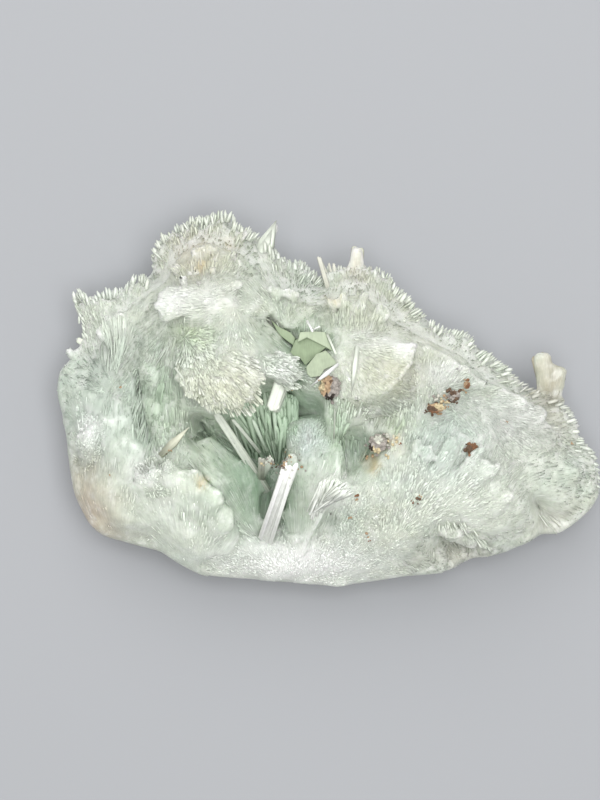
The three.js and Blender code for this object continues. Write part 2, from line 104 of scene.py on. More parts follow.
@dataclass(frozen=True)
class Habit:
    """How the fibres of a spray grow.

    Args:
        length: length of a fibre, mm.
        width: width of a fibre, mm.
        rise: how far its tip stands off the surface, mm.
        scatter: how far it strays from the spray's own direction, degrees.
        cover: fibres for each square millimetre, against the other habits.
        relief: depth of the ribs under the fibres, mm.
        calm: how far the mass under them is smoothed, 0 to 1.
    """

    length: float
    width: float
    rise: float
    scatter: float
    cover: float
    relief: float
    calm: float


class Growth(Enum):
    """The habits that the specimen shows."""

    SILKY = Habit(2.2, 0.14, 0.0, 2, 1.2, 0.012, 1.0)
    FINE = Habit(1.3, 0.14, 0.01, 4, 5, 0.02, 0.8)
    COMBED = Habit(1.3, 0.16, 0.01, 4, 3.5, 0.03, 0.5)
    STRANDED = Habit(3.2, 0.16, 0.01, 2, 3, 0.03, 0.8)
    FUZZY = Habit(0.6, 0.15, 0.05, 18, 9, 0.05, 0.7)
    TUFTED = Habit(1.4, 0.18, 0.04, 8, 8, 0.05, 0.3)
    GLASSY = Habit(2.6, 0.12, 0.0, 2, 1.5, 0.01, 0.0)
    BROKEN = Habit(0.8, 0.3, 0.1, 60, 0.0, 0.3, 0.0)


@dataclass(frozen=True)
class Spray:
    """A fan of crystals.

    Args:
        focus: where its crystals spring from, mm.
        edge: points along the line that their tips reach, mm.
        growth: how its fibres grow.
        comb: number of free crystals whose tips stand along the edge.
        size: length and width of those crystals, mm.
        toothed: whether large teeth stand out along the edge.
    """

    focus: Triple
    edge: tuple[Triple, ...]
    growth: Growth
    comb: int = 0
    size: tuple[float, float] = (4.0, 0.4)
    toothed: bool = False

    def along(self, share: np.ndarray) -> np.ndarray:
        """Points of the edge.

        Args:
            share: places along the edge, 0 to 1.

        Returns:
            One point for each place, mm.
        """
        points = np.array(self.edge)
        steps = np.linalg.norm(np.diff(points, axis=0), axis=1)
        marks = np.concatenate(([0.0], np.cumsum(steps)))
        at = share * marks[-1]
        return np.stack([np.interp(at, marks, points[:, axis]) for axis in range(3)], axis=1)


SPRAYS: dict[str, Spray] = {
    name: Spray(focus, edge, Growth[habit], *comb)
    for name, focus, edge, habit, *comb in (
        ("lobe_rim", (-16, 13, 14), ((-23.4, 16.4, 10), (-23.7, 19, 10.5), (-23.4, 20.4, 11),
         (-22.2, 21.8, 11.5), (-21, 22.1, 12), (-20.2, 23.2, 12), (-19, 23.3, 12), (-18.4, 24.3, 12.5),
         (-16.7, 24.3, 12.5), (-14.3, 24.9, 13), (-12.6, 24.4, 13), (-12.1, 23.2, 13), (-9.8, 22.3, 13),
         (-9, 21.6, 13)), "COMBED", 50, (1.6, 0.34), True),
        ("lobe_crown", (-16, 12, 16), ((-21.8, 17, 18), (-18.5, 20.5, 19.5), (-13.5, 21, 19.5),
         (-10, 18.5, 18.5)), "FINE"),
        ("lobe_heart", (-16, 12, 17), ((-20, 16, 22), (-17, 18, 23), (-13, 17.5, 23), (-10, 14.5, 21.5)),
         "FINE"),
        ("saddle_rim", (-6, 10, 14), ((-8.6, 21, 13), (-7.3, 19.9, 12.5), (-6.6, 19, 12), (-5.4, 18.4, 12),
         (-3.9, 18.5, 12), (-2.3, 17.2, 12), (-1.8, 17, 12), (-0.6, 15.6, 12)), "COMBED", 30, (1.6, 0.32),
         True),
        ("saddle_crown", (-6, 9, 15), ((-9, 15.5, 20), (-6, 15.5, 19), (-2.5, 14, 19)), "FINE"),
        ("dome_rim", (3, 6, 14), ((-0.4, 17.6, 12), (1.1, 17.7, 12), (1.9, 17.4, 12.5), (4.6, 17.7, 12.5),
         (6.1, 17.4, 13), (7.9, 16.5, 13), (8.8, 14.8, 13.5), (9.7, 14.3, 13.5), (11.6, 12.1, 13.5),
         (13.1, 10.6, 13)), "COMBED", 36, (1.6, 0.3), True),
        ("dome_crown", (3, 4, 16), ((-1.5, 13.5, 19), (2, 15, 20.5), (6, 14.5, 21), (9.5, 11.5, 20.5)),
         "FINE"),
        ("ridge_rim", (9.5, -2, 13), ((13.1, 10.6, 13), (14.5, 9.8, 12.5), (15.6, 9.4, 12.5), (18.2, 9, 12),
         (18.9, 8, 12), (19.2, 6.8, 12), (20.6, 6.6, 12), (22.8, 4.8, 11.5), (23.6, 4.5, 11.5),
         (24.7, 3, 11.5), (26.2, 2, 11)), "COMBED", 50, (1.6, 0.32), True),
        ("ridge_crown", (9.5, -3, 15), ((12, 8.2, 20.5), (15.5, 7, 20), (19, 4.5, 19), (22.5, 1.5, 17.5)),
         "FINE"),
        ("side_rim", (15, -5, 13), ((26.2, 2, 10.5), (28, 1, 10.5), (29.9, 0.3, 10.5), (30.9, -0.6, 10.5),
         (32.4, -1.7, 10.5), (32.8, -4.4, 10), (34.2, -6, 10), (35.4, -7.5, 9.5), (35.8, -9.9, 9),
         (35.8, -12.6, 8.5)), "COMBED", 30, (1.6, 0.3), True),
        ("lower_right_rim", (22, -9, 12), ((35.4, -12.8, 8.5), (34.5, -14.5, 8), (31.8, -16.7, 8),
         (29.8, -18, 8), (28.2, -17.5, 8.5), (25.2, -19, 8.5), (22.9, -19.7, 8.5)), "SILKY", 60, (3.0, 0.3)),
        ("hood", (14, -10, 15), ((11.6, -18, 14), (13.4, -17.6, 14.5), (16, -16.7, 15), (17.4, -17.4, 15),
         (19, -19, 13.5), (21.4, -20.2, 12)), "COMBED", 120, (2.0, 0.28)),
        ("left_rim", (-24, -2, 10), ((-35.2, 5, 9.5), (-36.2, 1.2, 9), (-35.8, -0.9, 9), (-34.8, -2.7, 8.5),
         (-34.4, -4.5, 8.5), (-34.3, -7, 8), (-33.6, -9.9, 8), (-32.9, -13, 8), (-31.8, -15.6, 8),
         (-30.4, -17.6, 8)), "SILKY", 70, (3.0, 0.3)),
        ("spur_rim", (-27, 1, 10), ((-32.9, 8.6, 9.5), (-32.7, 10.2, 9.5), (-33.6, 12.4, 10),
         (-34.1, 13.8, 10), (-33.4, 14.8, 10), (-32.3, 14, 10.5), (-31.3, 13.8, 11), (-29.8, 14.8, 11),
         (-28.4, 14.7, 11.5), (-26.9, 15.2, 12), (-25.7, 16.6, 12), (-24.4, 16.5, 12), (-23.8, 16, 12)),
         "COMBED", 40, (1.6, 0.32), True),
        ("spur_crown", (-26.5, 0, 13), ((-31.5, 9.5, 14.5), (-30, 11.8, 15), (-26, 13, 16)), "STRANDED"),
        ("white_band", (-7, 13, 19), ((-23, 9.6, 21), (-24.2, 12.6, 21), (-23, 15.2, 20)), "FINE"),
        ("curls", (-12.5, 12, 20), ((-14, 7, 24), (-10.5, 6.4, 23), (-7.4, 8, 21)), "COMBED"),
        ("middle_tuft", (-18.5, 8, 20), ((-20, 4.2, 23), (-18, 1.2, 24), (-17, -0.4, 25), (-14.8, -2, 25.8),
         (-12.6, -2.2, 26), (-10.4, -2.3, 26), (-8.5, -0.8, 26), (-7.8, 2, 25.5), (-9, 4.8, 25)), "TUFTED",
         170, (1.4, 0.32)),
        ("white_tuft", (-10, 5, 20.5), ((-6.5, 6.2, 24), (-4, 5.4, 25), (-3.3, 3, 25), (-3.8, 1.4, 24.6),
         (-5.4, 1, 24)), "TUFTED", 90, (1.4, 0.28)),
        ("right_crest", (0, 6.8, 19), ((12.2, 7.6, 22.8), (11.4, 4.2, 23.6), (8.4, 1, 23.6), (5.5, -0.5, 23),
         (2.8, -0.4, 22.2)), "FINE"),
        ("crest_line", (2, 7.2, 21), ((8, 8.6, 23.5), (11, 8.2, 24), (11.4, 7, 24)), "FINE"),
        ("shoulder_fan", (13, 1, 18), ((22.5, 2, 18), (26, 0, 16.5), (30, -3.6, 14), (31, -8, 13)), "FINE"),
        ("right_fan", (7, -20, 14), ((10.5, -4.5, 22), (14.5, -3.5, 23), (19, -4.5, 22), (22.6, -8.3, 20.5),
         (24.5, -12.5, 18), (23.5, -15.8, 15.5)), "FINE"),
        ("root_spray", (2, -22, 12), ((2.5, -14, 18.5), (5, -11.5, 21), (8, -11, 21.5)), "FUZZY"),
        ("small_fan", (-2, -13.9, 20.2), ((-1.5, -10.4, 21), (0.2, -9.4, 21.8), (2, -10.4, 21.8),
         (2.9, -11.8, 21.2)), "TUFTED", 260, (4.0, 0.5)),
        ("lower_sheet", (-18.5, -26, 11), ((-26, -9, 19), (-22, -7.2, 20.5), (-19, -7.8, 21),
         (-15.5, -9.8, 21), (-13.3, -13.2, 19.5), (-12, -16.5, 17.5)), "SILKY"),
        ("white_crest", (-22.5, -11.5, 17), ((-25.4, -8.4, 19.5), (-23.2, -7.2, 20.5), (-20.6, -7.4, 21)),
         "FUZZY", 60, (1.2, 0.24)),
        ("beige_spikes", (-20.5, -10, 17), ((-22.4, -4.6, 21.5), (-19.8, -4, 22.5), (-17.8, -3.4, 22.5)),
         "COMBED"),
        ("inner_curtain", (-20.5, 9, 21), ((-24.6, -5, 15), (-21.5, -6.5, 15), (-19.2, -4, 15)), "STRANDED"),
        ("left_sheet", (-9, -19, 12), ((-19, -6, 16.5), (-15.6, -4.6, 15), (-9.4, -9.6, 13.5)), "GLASSY"),
        ("right_sheet", (-4.4, -24, 13), ((-5, -8, 16), (-1.4, -6, 18.5), (1, -8, 19.5), (0.2, -14, 18.5)),
         "GLASSY"),
        ("blue_patch", (-3.2, -9, 14), ((-5, -3.4, 15), (-2.6, -2.8, 16), (0, -4, 17.5)), "FUZZY", 90,
         (1.2, 0.24)),
        ("back_fibres", (-6, -16, 5), ((-14, 0.5, 15), (-9, 1.2, 15.5), (-4.5, 0.8, 15.5)), "STRANDED", 720,
         (6.5, 0.8)),
        ("standing_columns", (0.5, -12, 14), ((-1, -0.6, 19.5), (0.6, 0, 20.5), (2.4, -0.6, 21)), "STRANDED"),
        ("left_body", (-28, -22, 8), ((-33, -4, 13.5), (-30.5, -1.5, 16), (-27.5, -2.5, 17.5),
         (-25.6, -6, 18)), "SILKY"),
        ("sugar", (-32, -9, 12), ((-32.5, -3, 14), (-30.6, -2.6, 15), (-30, -5, 15.5)), "FUZZY"),
        ("notch_facets", (-3, 3, 15), ((-5.4, 7.9, 16.5), (-2.9, 8.6, 18), (-0.1, 6.9, 18.5)), "GLASSY"),
        ("green_recess", (3, -14, 14), ((1.8, -4.5, 17), (3.5, -4, 18), (4.8, -5, 18)), "GLASSY"),
        ("neck", (-19, 14, 20), ((-27, 6, 17), (-25.5, 2, 18), (-22, 1, 20)), "FINE"),
        ("root_zone", (-5, -26, 8), ((-14, -21, 12), (-8, -18.5, 13), (0, -18.5, 14), (6, -21, 13)), "FUZZY"),
        ("spur_plate", (29, -2, 9.5), ((26.9, 5.9, 10.2), (28.6, 5.7, 10.1), (30.7, 3.4, 9.8)), "GLASSY"),
        ("far_right", (18, -10, 12), ((30, -6, 14), (31.5, -10, 13), (29, -14, 12)), "SILKY"),
    )
}

BACK_FOCUS = (-2.0, -2.0, -30.0)  # the broken back's ribs spread from here, mm
GROWN_ABOVE = 6.5  # sprays grow above this height, and the back is broken below it, mm

# Cracks cut into the face, darkened with painted shade: start, end, width and depth, mm.
CRACKS: tuple[tuple[tuple[float, float], tuple[float, float], float, float], ...] = (
    ((-25.1, 3.6), (-24.8, 0.5), 0.35, 1.0),
    ((-24.8, 0.5), (-23.3, -5.4), 0.3, 0.8),
    ((-7.8, 10.4), (-4.6, 7.5), 0.4, 1.6),
)

# Places where lumps run together: middle and half sizes, mm.
MELTS: tuple[tuple[Triple, Triple], ...] = (
    ((-15.5, 17, 20), (7, 5, 6)),
    ((-18, 13, 22), (7, 3.5, 6)),
    ((-6, 14.2, 19), (5, 3.5, 5)),
    ((4, 12.5, 20), (8, 4.2, 5)),
    ((16, 5.5, 19), (8, 3.6, 6)),
    ((8, 3, 23), (6.5, 5, 4)),
    ((17, 0, 21), (8, 3.5, 6)),
    ((-29, 8, 14), (4, 5.5, 5)),
)


@dataclass(frozen=True)
class Stain:
    """A soft patch of colour.

    Args:
        at: its middle, mm.
        size: its half sizes, mm.
        tone: its colour.
        strength: its share in its middle, 0 to 1.
    """

    at: Triple
    size: Triple
    tone: Tone
    strength: float


STAINS: tuple[Stain, ...] = tuple(
    Stain(row[:3], row[3:6], Tone[row[6]], row[7])
    for row in (
        # The second patch here, the beige of the lower left edge, is partly the stone's own colour and partly
        # a painted reflection of a finger.
        (-29, -5, 12, 8, 12, 8, "AQUA", 0.9), (-31, -14, 9, 5, 6.5, 9, "BEIGE", 1.0),
        (-20, -15, 17, 8, 6, 8, "PALE", 0.6), (-16, 19, 18, 8, 6, 9, "CREAM", 0.6),
        # The second patch here, the olive hollow between the white band and the tuft, is painted shade.
        (-18, 19.5, 16, 4, 3, 6, "BEIGE", 0.5), (-17.8, 8.6, 20, 3, 2, 6, "OLIVE", 0.7),
        # The second patch here, the white band at the top left, is partly white crust and partly painted
        # highlight where the band faces the light.
        (-13, 1.5, 25, 6, 4.5, 4, "CREAM", 0.9), (-17.5, 13, 24, 7, 2.2, 5, "WHITE", 1.0),
        (-9, -10, 13, 8, 9, 7, "DEEP", 0.9), (-17.3, -4.2, 8, 3, 3, 5, "MINT", 0.9),
        # The second patch here, the dark green beside the nodule, is painted shade.
        (-8, -1.5, 14, 7, 5, 6, "LEAF", 0.9), (-3.2, -0.6, 18, 3.4, 2.4, 6, "DEEP", 0.7),
        (-7, 4, 24, 3.6, 2.2, 3, "WHITE", 0.8), (4, 12, 18, 8, 5, 6, "CREAM", 0.6),
        (14, 7, 17, 7, 4, 6, "CREAM", 0.5), (-3.4, 6.6, 17, 4.8, 3.6, 6, "DEEP", 0.7),
        (-31.3, -4, 14, 2, 2.6, 4, "WHITE", 0.9), (-24, -9, 19, 2.6, 1.6, 4, "WHITE", 0.9),
        (-21.5, 0, 17, 2.8, 5.5, 5, "MINT", 0.9), (8.5, 3, 23, 6, 3.6, 5, "CREAM", 1.0),
        (3.2, -6.6, 17, 1.9, 2.6, 6, "DEEP", 0.8), (8.7, -3.3, 20, 1.8, 1.1, 3, "OLIVE", 0.8),
        (14.5, 3, 20, 3.4, 1.8, 4, "WHITE", 0.7), (15.5, -5, 19, 6, 4.5, 7, "AQUA", 0.9),
        (24.5, -3, 17, 6, 4, 7, "WHITE", 0.7), (16, -9, 19, 6, 4, 6, "BLUE", 0.5),
        (29, 2.6, 10, 3, 6, 5, "BUFF", 1.0), (3.5, 18, 12, 2, 3, 5, "BEIGE", 0.6),
        # Both grey patches here, in the low recesses under the right and lower rims, are painted shade on the
        # undersides.
        (29, -15.5, 9, 4, 3, 6, "GREY", 0.8), (17, -20.5, 9, 5, 2.2, 6, "GREY", 0.9),
        (0.2, -11.8, 20.5, 3.2, 3, 5, "SNOW", 1.0), (-3, -5.4, 17, 2.6, 3, 4, "BLUE", 1.0),
        (1, -4, 19, 2, 5, 5, "MINT", 0.8), (-4, -21.5, 13, 11, 4, 7, "WHITE", 1.0),
        (9, 7.8, 23, 6, 1.6, 4, "WHITE", 0.9), (20, -14, 16, 10, 5, 8, "PALE", 0.9),
        (24, -7, 17, 7, 3, 8, "PALE", 0.7), (-28.5, 9.5, 14, 4, 5, 6, "PALE", 0.4),
        (-16.6, -10.3, 19, 1.0, 0.8, 3, "SAND", 0.8), (-12.9, 20.2, 18, 0.8, 0.6, 5, "SAND", 0.9),
        (-16.6, 16.7, 20, 1.0, 0.7, 5, "SAND", 1.0), (-0.15, 12.8, 18, 0.9, 0.7, 5, "SAND", 0.6),
        (8.2, -5.4, 19, 1.3, 0.9, 3, "SAND", 0.9), (5.2, -7.9, 18, 1.3, 1.0, 3, "SAND", 0.9),
        (-6.2, -7.9, 16, 2.2, 1.6, 3, "GREY", 0.8),
    )
)


def unit(vectors: np.ndarray) -> np.ndarray:
    """Rows of vectors at length 1."""
    return vectors / np.maximum(np.linalg.norm(vectors, axis=1, keepdims=True), 1e-9)


def packed(places: Triple | np.ndarray) -> np.ndarray:
    """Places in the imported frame, mm."""
    return np.array(places) + MIDDLE_SHIFT


def wobble(points: np.ndarray, scale: float, seed: float) -> np.ndarray:
    """Smooth chance values, one for each point.

    Args:
        points: places, in any unit.
        scale: how many swings the pattern makes for each unit.
        seed: moves the pattern.

    Returns:
        Values of about -1 to 1.
    """
    rows = (points * scale + seed).tolist()
    return np.array([noise.noise(Vector(row)) for row in rows])


def drift(points: np.ndarray, scale: float, step: float, seed: float) -> np.ndarray:
    """Smooth chance shifts of about 1, one for each point.

    Args:
        points: places, in any unit.
        scale: how many swings the pattern makes for each unit.
        step: how far the patterns of the three axes lie apart.
        seed: moves the pattern.

    Returns:
        One shift for each point.
    """
    return np.stack([wobble(points, scale, step * axis + seed) for axis in range(3)], axis=1)


def mixed(colour: np.ndarray, tone: Tone, share: float | np.ndarray) -> np.ndarray:
    """Colours drawn towards a tone, by a share of 0 to 1."""
    return colour * (1 - share) + np.array(tone.value) * share


class Growths:
    """Knows which spray owns a place, and the way that fibres grow there."""

    SPINE_SHARES = (0.25, 0.45, 0.65, 0.85, 1.0)
    EDGE_STEPS = 9
    STRAY = 0.8  # how far the borders between sprays wander, mm

    def __init__(self) -> None:
        """Spreads marks over every spray, to find the nearest one by."""
        self.names = list(SPRAYS)
        self.foci = packed([SPRAYS[name].focus for name in self.names])
        marks: list[tuple[np.ndarray, int]] = []
        for number, name in enumerate(self.names):
            edge = packed(SPRAYS[name].along(np.linspace(0, 1, self.EDGE_STEPS)))
            for share in self.SPINE_SHARES:
                for point in self.foci[number] + (edge - self.foci[number]) * share:
                    marks.append((point, number))
        self.owner = [number for _, number in marks]
        self.tree = kdtree.KDTree(len(marks))
        for index, (point, _) in enumerate(marks):
            self.tree.insert(Vector(point), index)
        self.tree.balance()

    def own(self, points: np.ndarray) -> np.ndarray:
        """The number of the spray that each point belongs to.

        Args:
            points: places, mm.

        Returns:
            Spray numbers.
        """
        moved = points + self.STRAY * drift(points, 0.35, 11.0, 3)
        return np.array([self.owner[self.tree.find(Vector(row))[1]] for row in moved.tolist()])

    def ways(self, points: np.ndarray, owners: np.ndarray) -> np.ndarray:
        """The directions in which fibres grow, away from their focus."""
        return unit(points - self.foci[owners])

    def habits(self, owners: np.ndarray, part: str) -> np.ndarray:
        """One number of the owners' habits, such as their length."""
        values = np.array([getattr(SPRAYS[name].growth.value, part) for name in self.names])
        return values[owners]

    def toothed(self, owners: np.ndarray) -> np.ndarray:
        """1 where the owner has teeth along its edge, else 0."""
        return np.array([float(SPRAYS[name].toothed) for name in self.names])[owners]


def tints(points: np.ndarray) -> np.ndarray:
    """The mineral's colour at each point, with the painted shade, highlight and reflection that a few stains
    lay on.

    Args:
        points: places, mm.

    Returns:
        Rows of linear red, green and blue.
    """
    moved = points + 1.1 * drift(points, 0.5, 17.0, 5)
    veil = np.clip(0.4 + 0.6 * wobble(points, 0.16, 40.0) + 0.5 * wobble(points, 0.7, 44.0), 0, 1)
    colour = mixed(np.tile(np.array(Tone.MIST.value), (len(points), 1)), Tone.AQUA, 0.6 * veil[:, None])
    for stain in STAINS:
        offset = (moved - packed(stain.at)) / np.array(stain.size)
        share = stain.strength * np.exp(-np.sum(offset**2, axis=1))
        colour = mixed(colour, stain.tone, share[:, None])
    bloom = 0.5 * np.clip(wobble(points, 0.8, 61.0) + 0.6 * wobble(points, 2.1, 67.0), 0, 1)
    return mixed(colour, Tone.WHITE, bloom[:, None])


def write_mesh(name: str, points: np.ndarray, faces: list[np.ndarray], tint: np.ndarray) -> bpy.types.Object:
    """A mesh object from arrays.

    Args:
        name: the object's name.
        points: corners, m.
        faces: arrays of corner numbers, one array for each number of sides.
        tint: linear colour of each corner.

    Returns:
        The object, linked to the scene.
    """
    mesh = bpy.data.meshes.new(name)
    mesh.vertices.add(len(points))
    mesh.vertices.foreach_set("co", points.astype(np.float32).ravel())
    corners = np.concatenate([block.ravel() for block in faces])
    sizes = np.concatenate([np.full(len(block), block.shape[1]) for block in faces])
    mesh.loops.add(len(corners))
    mesh.loops.foreach_set("vertex_index", corners.astype(np.int32))
    mesh.polygons.add(len(sizes))
    mesh.polygons.foreach_set("loop_start", (np.cumsum(sizes) - sizes).astype(np.int32))
    mesh.update(calc_edges=True)
    paint(mesh, tint)
    piece = bpy.data.objects.new(name, mesh)
    bpy.context.collection.objects.link(piece)
    return piece


def paint(mesh: bpy.types.Mesh, tint: np.ndarray) -> None:
    """Writes each corner's colour to the mesh as its tint."""
    layer = mesh.color_attributes.new("tint", "FLOAT_COLOR", "POINT")
    layer.data.foreach_set("color", np.concatenate((tint, np.ones((len(tint), 1))), axis=1).ravel())


def comb_lines(mesh: bpy.types.Mesh, fibre: np.ndarray) -> None:
    """Writes the places that streaks are read at, which hardly change along a fibre."""
    layer = mesh.attributes.new("fibre", "FLOAT_VECTOR", "POINT")
    layer.data.foreach_set("vector", fibre.astype(np.float32).ravel())


def corners_of(mesh: bpy.types.Mesh, part: str = "co") -> np.ndarray:
    """The places, or normals, of a mesh's corners, row by row."""
    values = np.empty(len(mesh.vertices) * 3)
    mesh.vertices.foreach_get(part, values)
    return values.reshape(-1, 3)


class Graph:
    """A material, node by node."""

    def __init__(self, name: str, values: dict[str, object]) -> None:
        """Starts the material, with values for its shader."""
        self.material = bpy.data.materials.new(name)
        self.material.use_nodes = True
        self.tree = self.material.node_tree
        self.shader = self.tree.nodes["Principled BSDF"]
        self.fill(self.shader, values)

    def fill(self, node: bpy.types.Node, values: dict[str | int, object]) -> None:
        """Sets inputs of a node: another node's output is joined, and any other value is written."""
        for key, value in values.items():
            if isinstance(value, bpy.types.NodeSocket):
                self.tree.links.new(value, node.inputs[key])
            else:
                node.inputs[key].default_value = value

    def add(self, kind: str, values: dict[str | int, object], operation: str = "") -> bpy.types.Node:
        """Adds a node and fills its inputs.

        Args:
            kind: the node's type, without its first word.
            values: its inputs, by name or number.
            operation: what it works out, for a node that has a choice.

        Returns:
            The node.
        """
        node = self.tree.nodes.new("ShaderNode" + kind)
        if operation:
            node.operation = operation
        self.fill(node, values)
        return node

    def read(self, attribute: str, output: str) -> bpy.types.NodeSocket:
        """What the mesh holds as an attribute."""
        node = self.add("Attribute", {})
        node.attribute_name = attribute
        return node.outputs[output]

    def place(self) -> bpy.types.NodeSocket:
        """The place on the object."""
        return self.add("TexCoord", {}).outputs["Object"]

    def noise(self, at: bpy.types.NodeSocket, scale: float, detail: float) -> bpy.types.NodeSocket:
        """A noise read at given places."""
        return self.add("TexNoise", {"Scale": scale, "Detail": detail, "Vector": at}).outputs["Fac"]

    def spread(self, value: bpy.types.NodeSocket, low: float, high: float, first: float,
               last: float) -> bpy.types.NodeSocket:
        """A value of low to high, stretched to go from first to last."""
        ends = {"From Min": low, "From Max": high, "To Min": first, "To Max": last}
        return self.add("MapRange", {**ends, "Value": value}).outputs["Result"]

    def finish(self, shade: bpy.types.NodeSocket, height: bpy.types.NodeSocket, distance: float,
               strength: float) -> bpy.types.Material:
        """Joins colour and bumps to the shader.

        Args:
            shade: factor for the mesh's tint.
            height: height of the bumps, 0 to 1.
            distance: that height's size, m.
            strength: how strongly the bumps show, 0 to 1.

        Returns:
            The material.
        """
        colour = self.add("VectorMath", {0: self.read("tint", "Color"), "Scale": shade}, "SCALE")
        bump = self.add("Bump", {"Distance": distance, "Strength": strength, "Height": height})
        self.fill(self.shader, {"Base Color": colour.outputs["Vector"], "Normal": bump.outputs["Normal"]})
        return self.material


@dataclass(frozen=True)
class CrystalFinish:
    """Aragonite: pearly, a little see-through, streaked along its fibres.

    Args:
        name: the material's name.
        roughness: roughness of its shader.
        subsurface: weight of the glow inside it.
        streak_scale: how close its streaks lie.
        streak_tone: how far they darken and brighten it.
        bump_height: height of its bumps, m.
    """

    name: str
    roughness: float = 0.42
    subsurface: float = 1.0
    streak_scale: float = 3.0
    streak_tone: float = 0.1
    bump_height: float = 0.00012

    INDEX = 1.58
    GLOW = (0.92, 1.0, 0.94)
    GLOW_DEPTH = 0.003
    MOTTLE_SCALE = 900

    def make(self, streaked: bool) -> bpy.types.Material:
        """Builds the material.

        Args:
            streaked: whether the mesh holds a "fibre" attribute to lay streaks along.

        Returns:
            The material.
        """
        graph = Graph(self.name, {
            "Roughness": self.roughness, "IOR": self.INDEX, "Subsurface Weight": self.subsurface,
            "Subsurface Radius": self.GLOW, "Subsurface Scale": self.GLOW_DEPTH})
        height = graph.noise(graph.place(), self.MOTTLE_SCALE, 3)
        shade = graph.spread(height, 0.3, 0.7, 0.9, 1.06)
        if streaked:
            height = graph.noise(graph.read("fibre", "Vector"), self.streak_scale, 4)
            lines = graph.spread(height, 0.35, 0.65, 1 - self.streak_tone, 1 + self.streak_tone)
            shade = graph.add("Math", {0: shade, 1: lines}, "MULTIPLY").outputs["Value"]
        return graph.finish(shade, height, self.bump_height, 0.7)


@dataclass(frozen=True)
class OreFinish:
    """The brown mineral: dull and gritty, in the colours that its mesh holds."""

    name: str

    ROUGHNESS = 0.8
    GRIT_SCALE = 2600
    GRIT_HEIGHT = 0.0002

    def make(self) -> bpy.types.Material:
        """Builds the material and returns it."""
        graph = Graph(self.name, {"Roughness": self.ROUGHNESS})
        grit = graph.noise(graph.place(), self.GRIT_SCALE, 4)
        return graph.finish(graph.spread(grit, 0.3, 0.7, 0.75, 1.25), grit, self.GRIT_HEIGHT, 1.0)


MASS_FINISH = CrystalFinish("aragonite mass")
BLADE_FINISH = CrystalFinish("aragonite blade", 0.6, 0.0, 1.0, 0.06, 0.00006)
FIBRE_FINISH = CrystalFinish("aragonite fibre", 0.4, 0.0)


def deselect() -> None:
    """Leaves no object selected."""
    bpy.ops.object.select_all(action="DESELECT")


def one_object(piece: bpy.types.Object) -> None:
    """Selects one object alone and makes it active."""
    deselect()
    piece.select_set(True)
    bpy.context.view_layer.objects.active = piece


@contextmanager
def edit_mode(selection: str = "") -> Iterator[None]:
    """Edit mode of the active object, with all of its mesh selected, none of it, or as it was."""
    bpy.ops.object.mode_set(mode="EDIT")
    if selection:
        bpy.ops.mesh.select_all(action=selection)
    yield
    bpy.ops.object.mode_set(mode="OBJECT")


def apply_modifiers(piece: bpy.types.Object) -> None:
    """Applies every modifier of a piece, in order."""
    one_object(piece)
    for modifier in list(piece.modifiers):
        bpy.ops.object.modifier_apply(modifier=modifier.name)


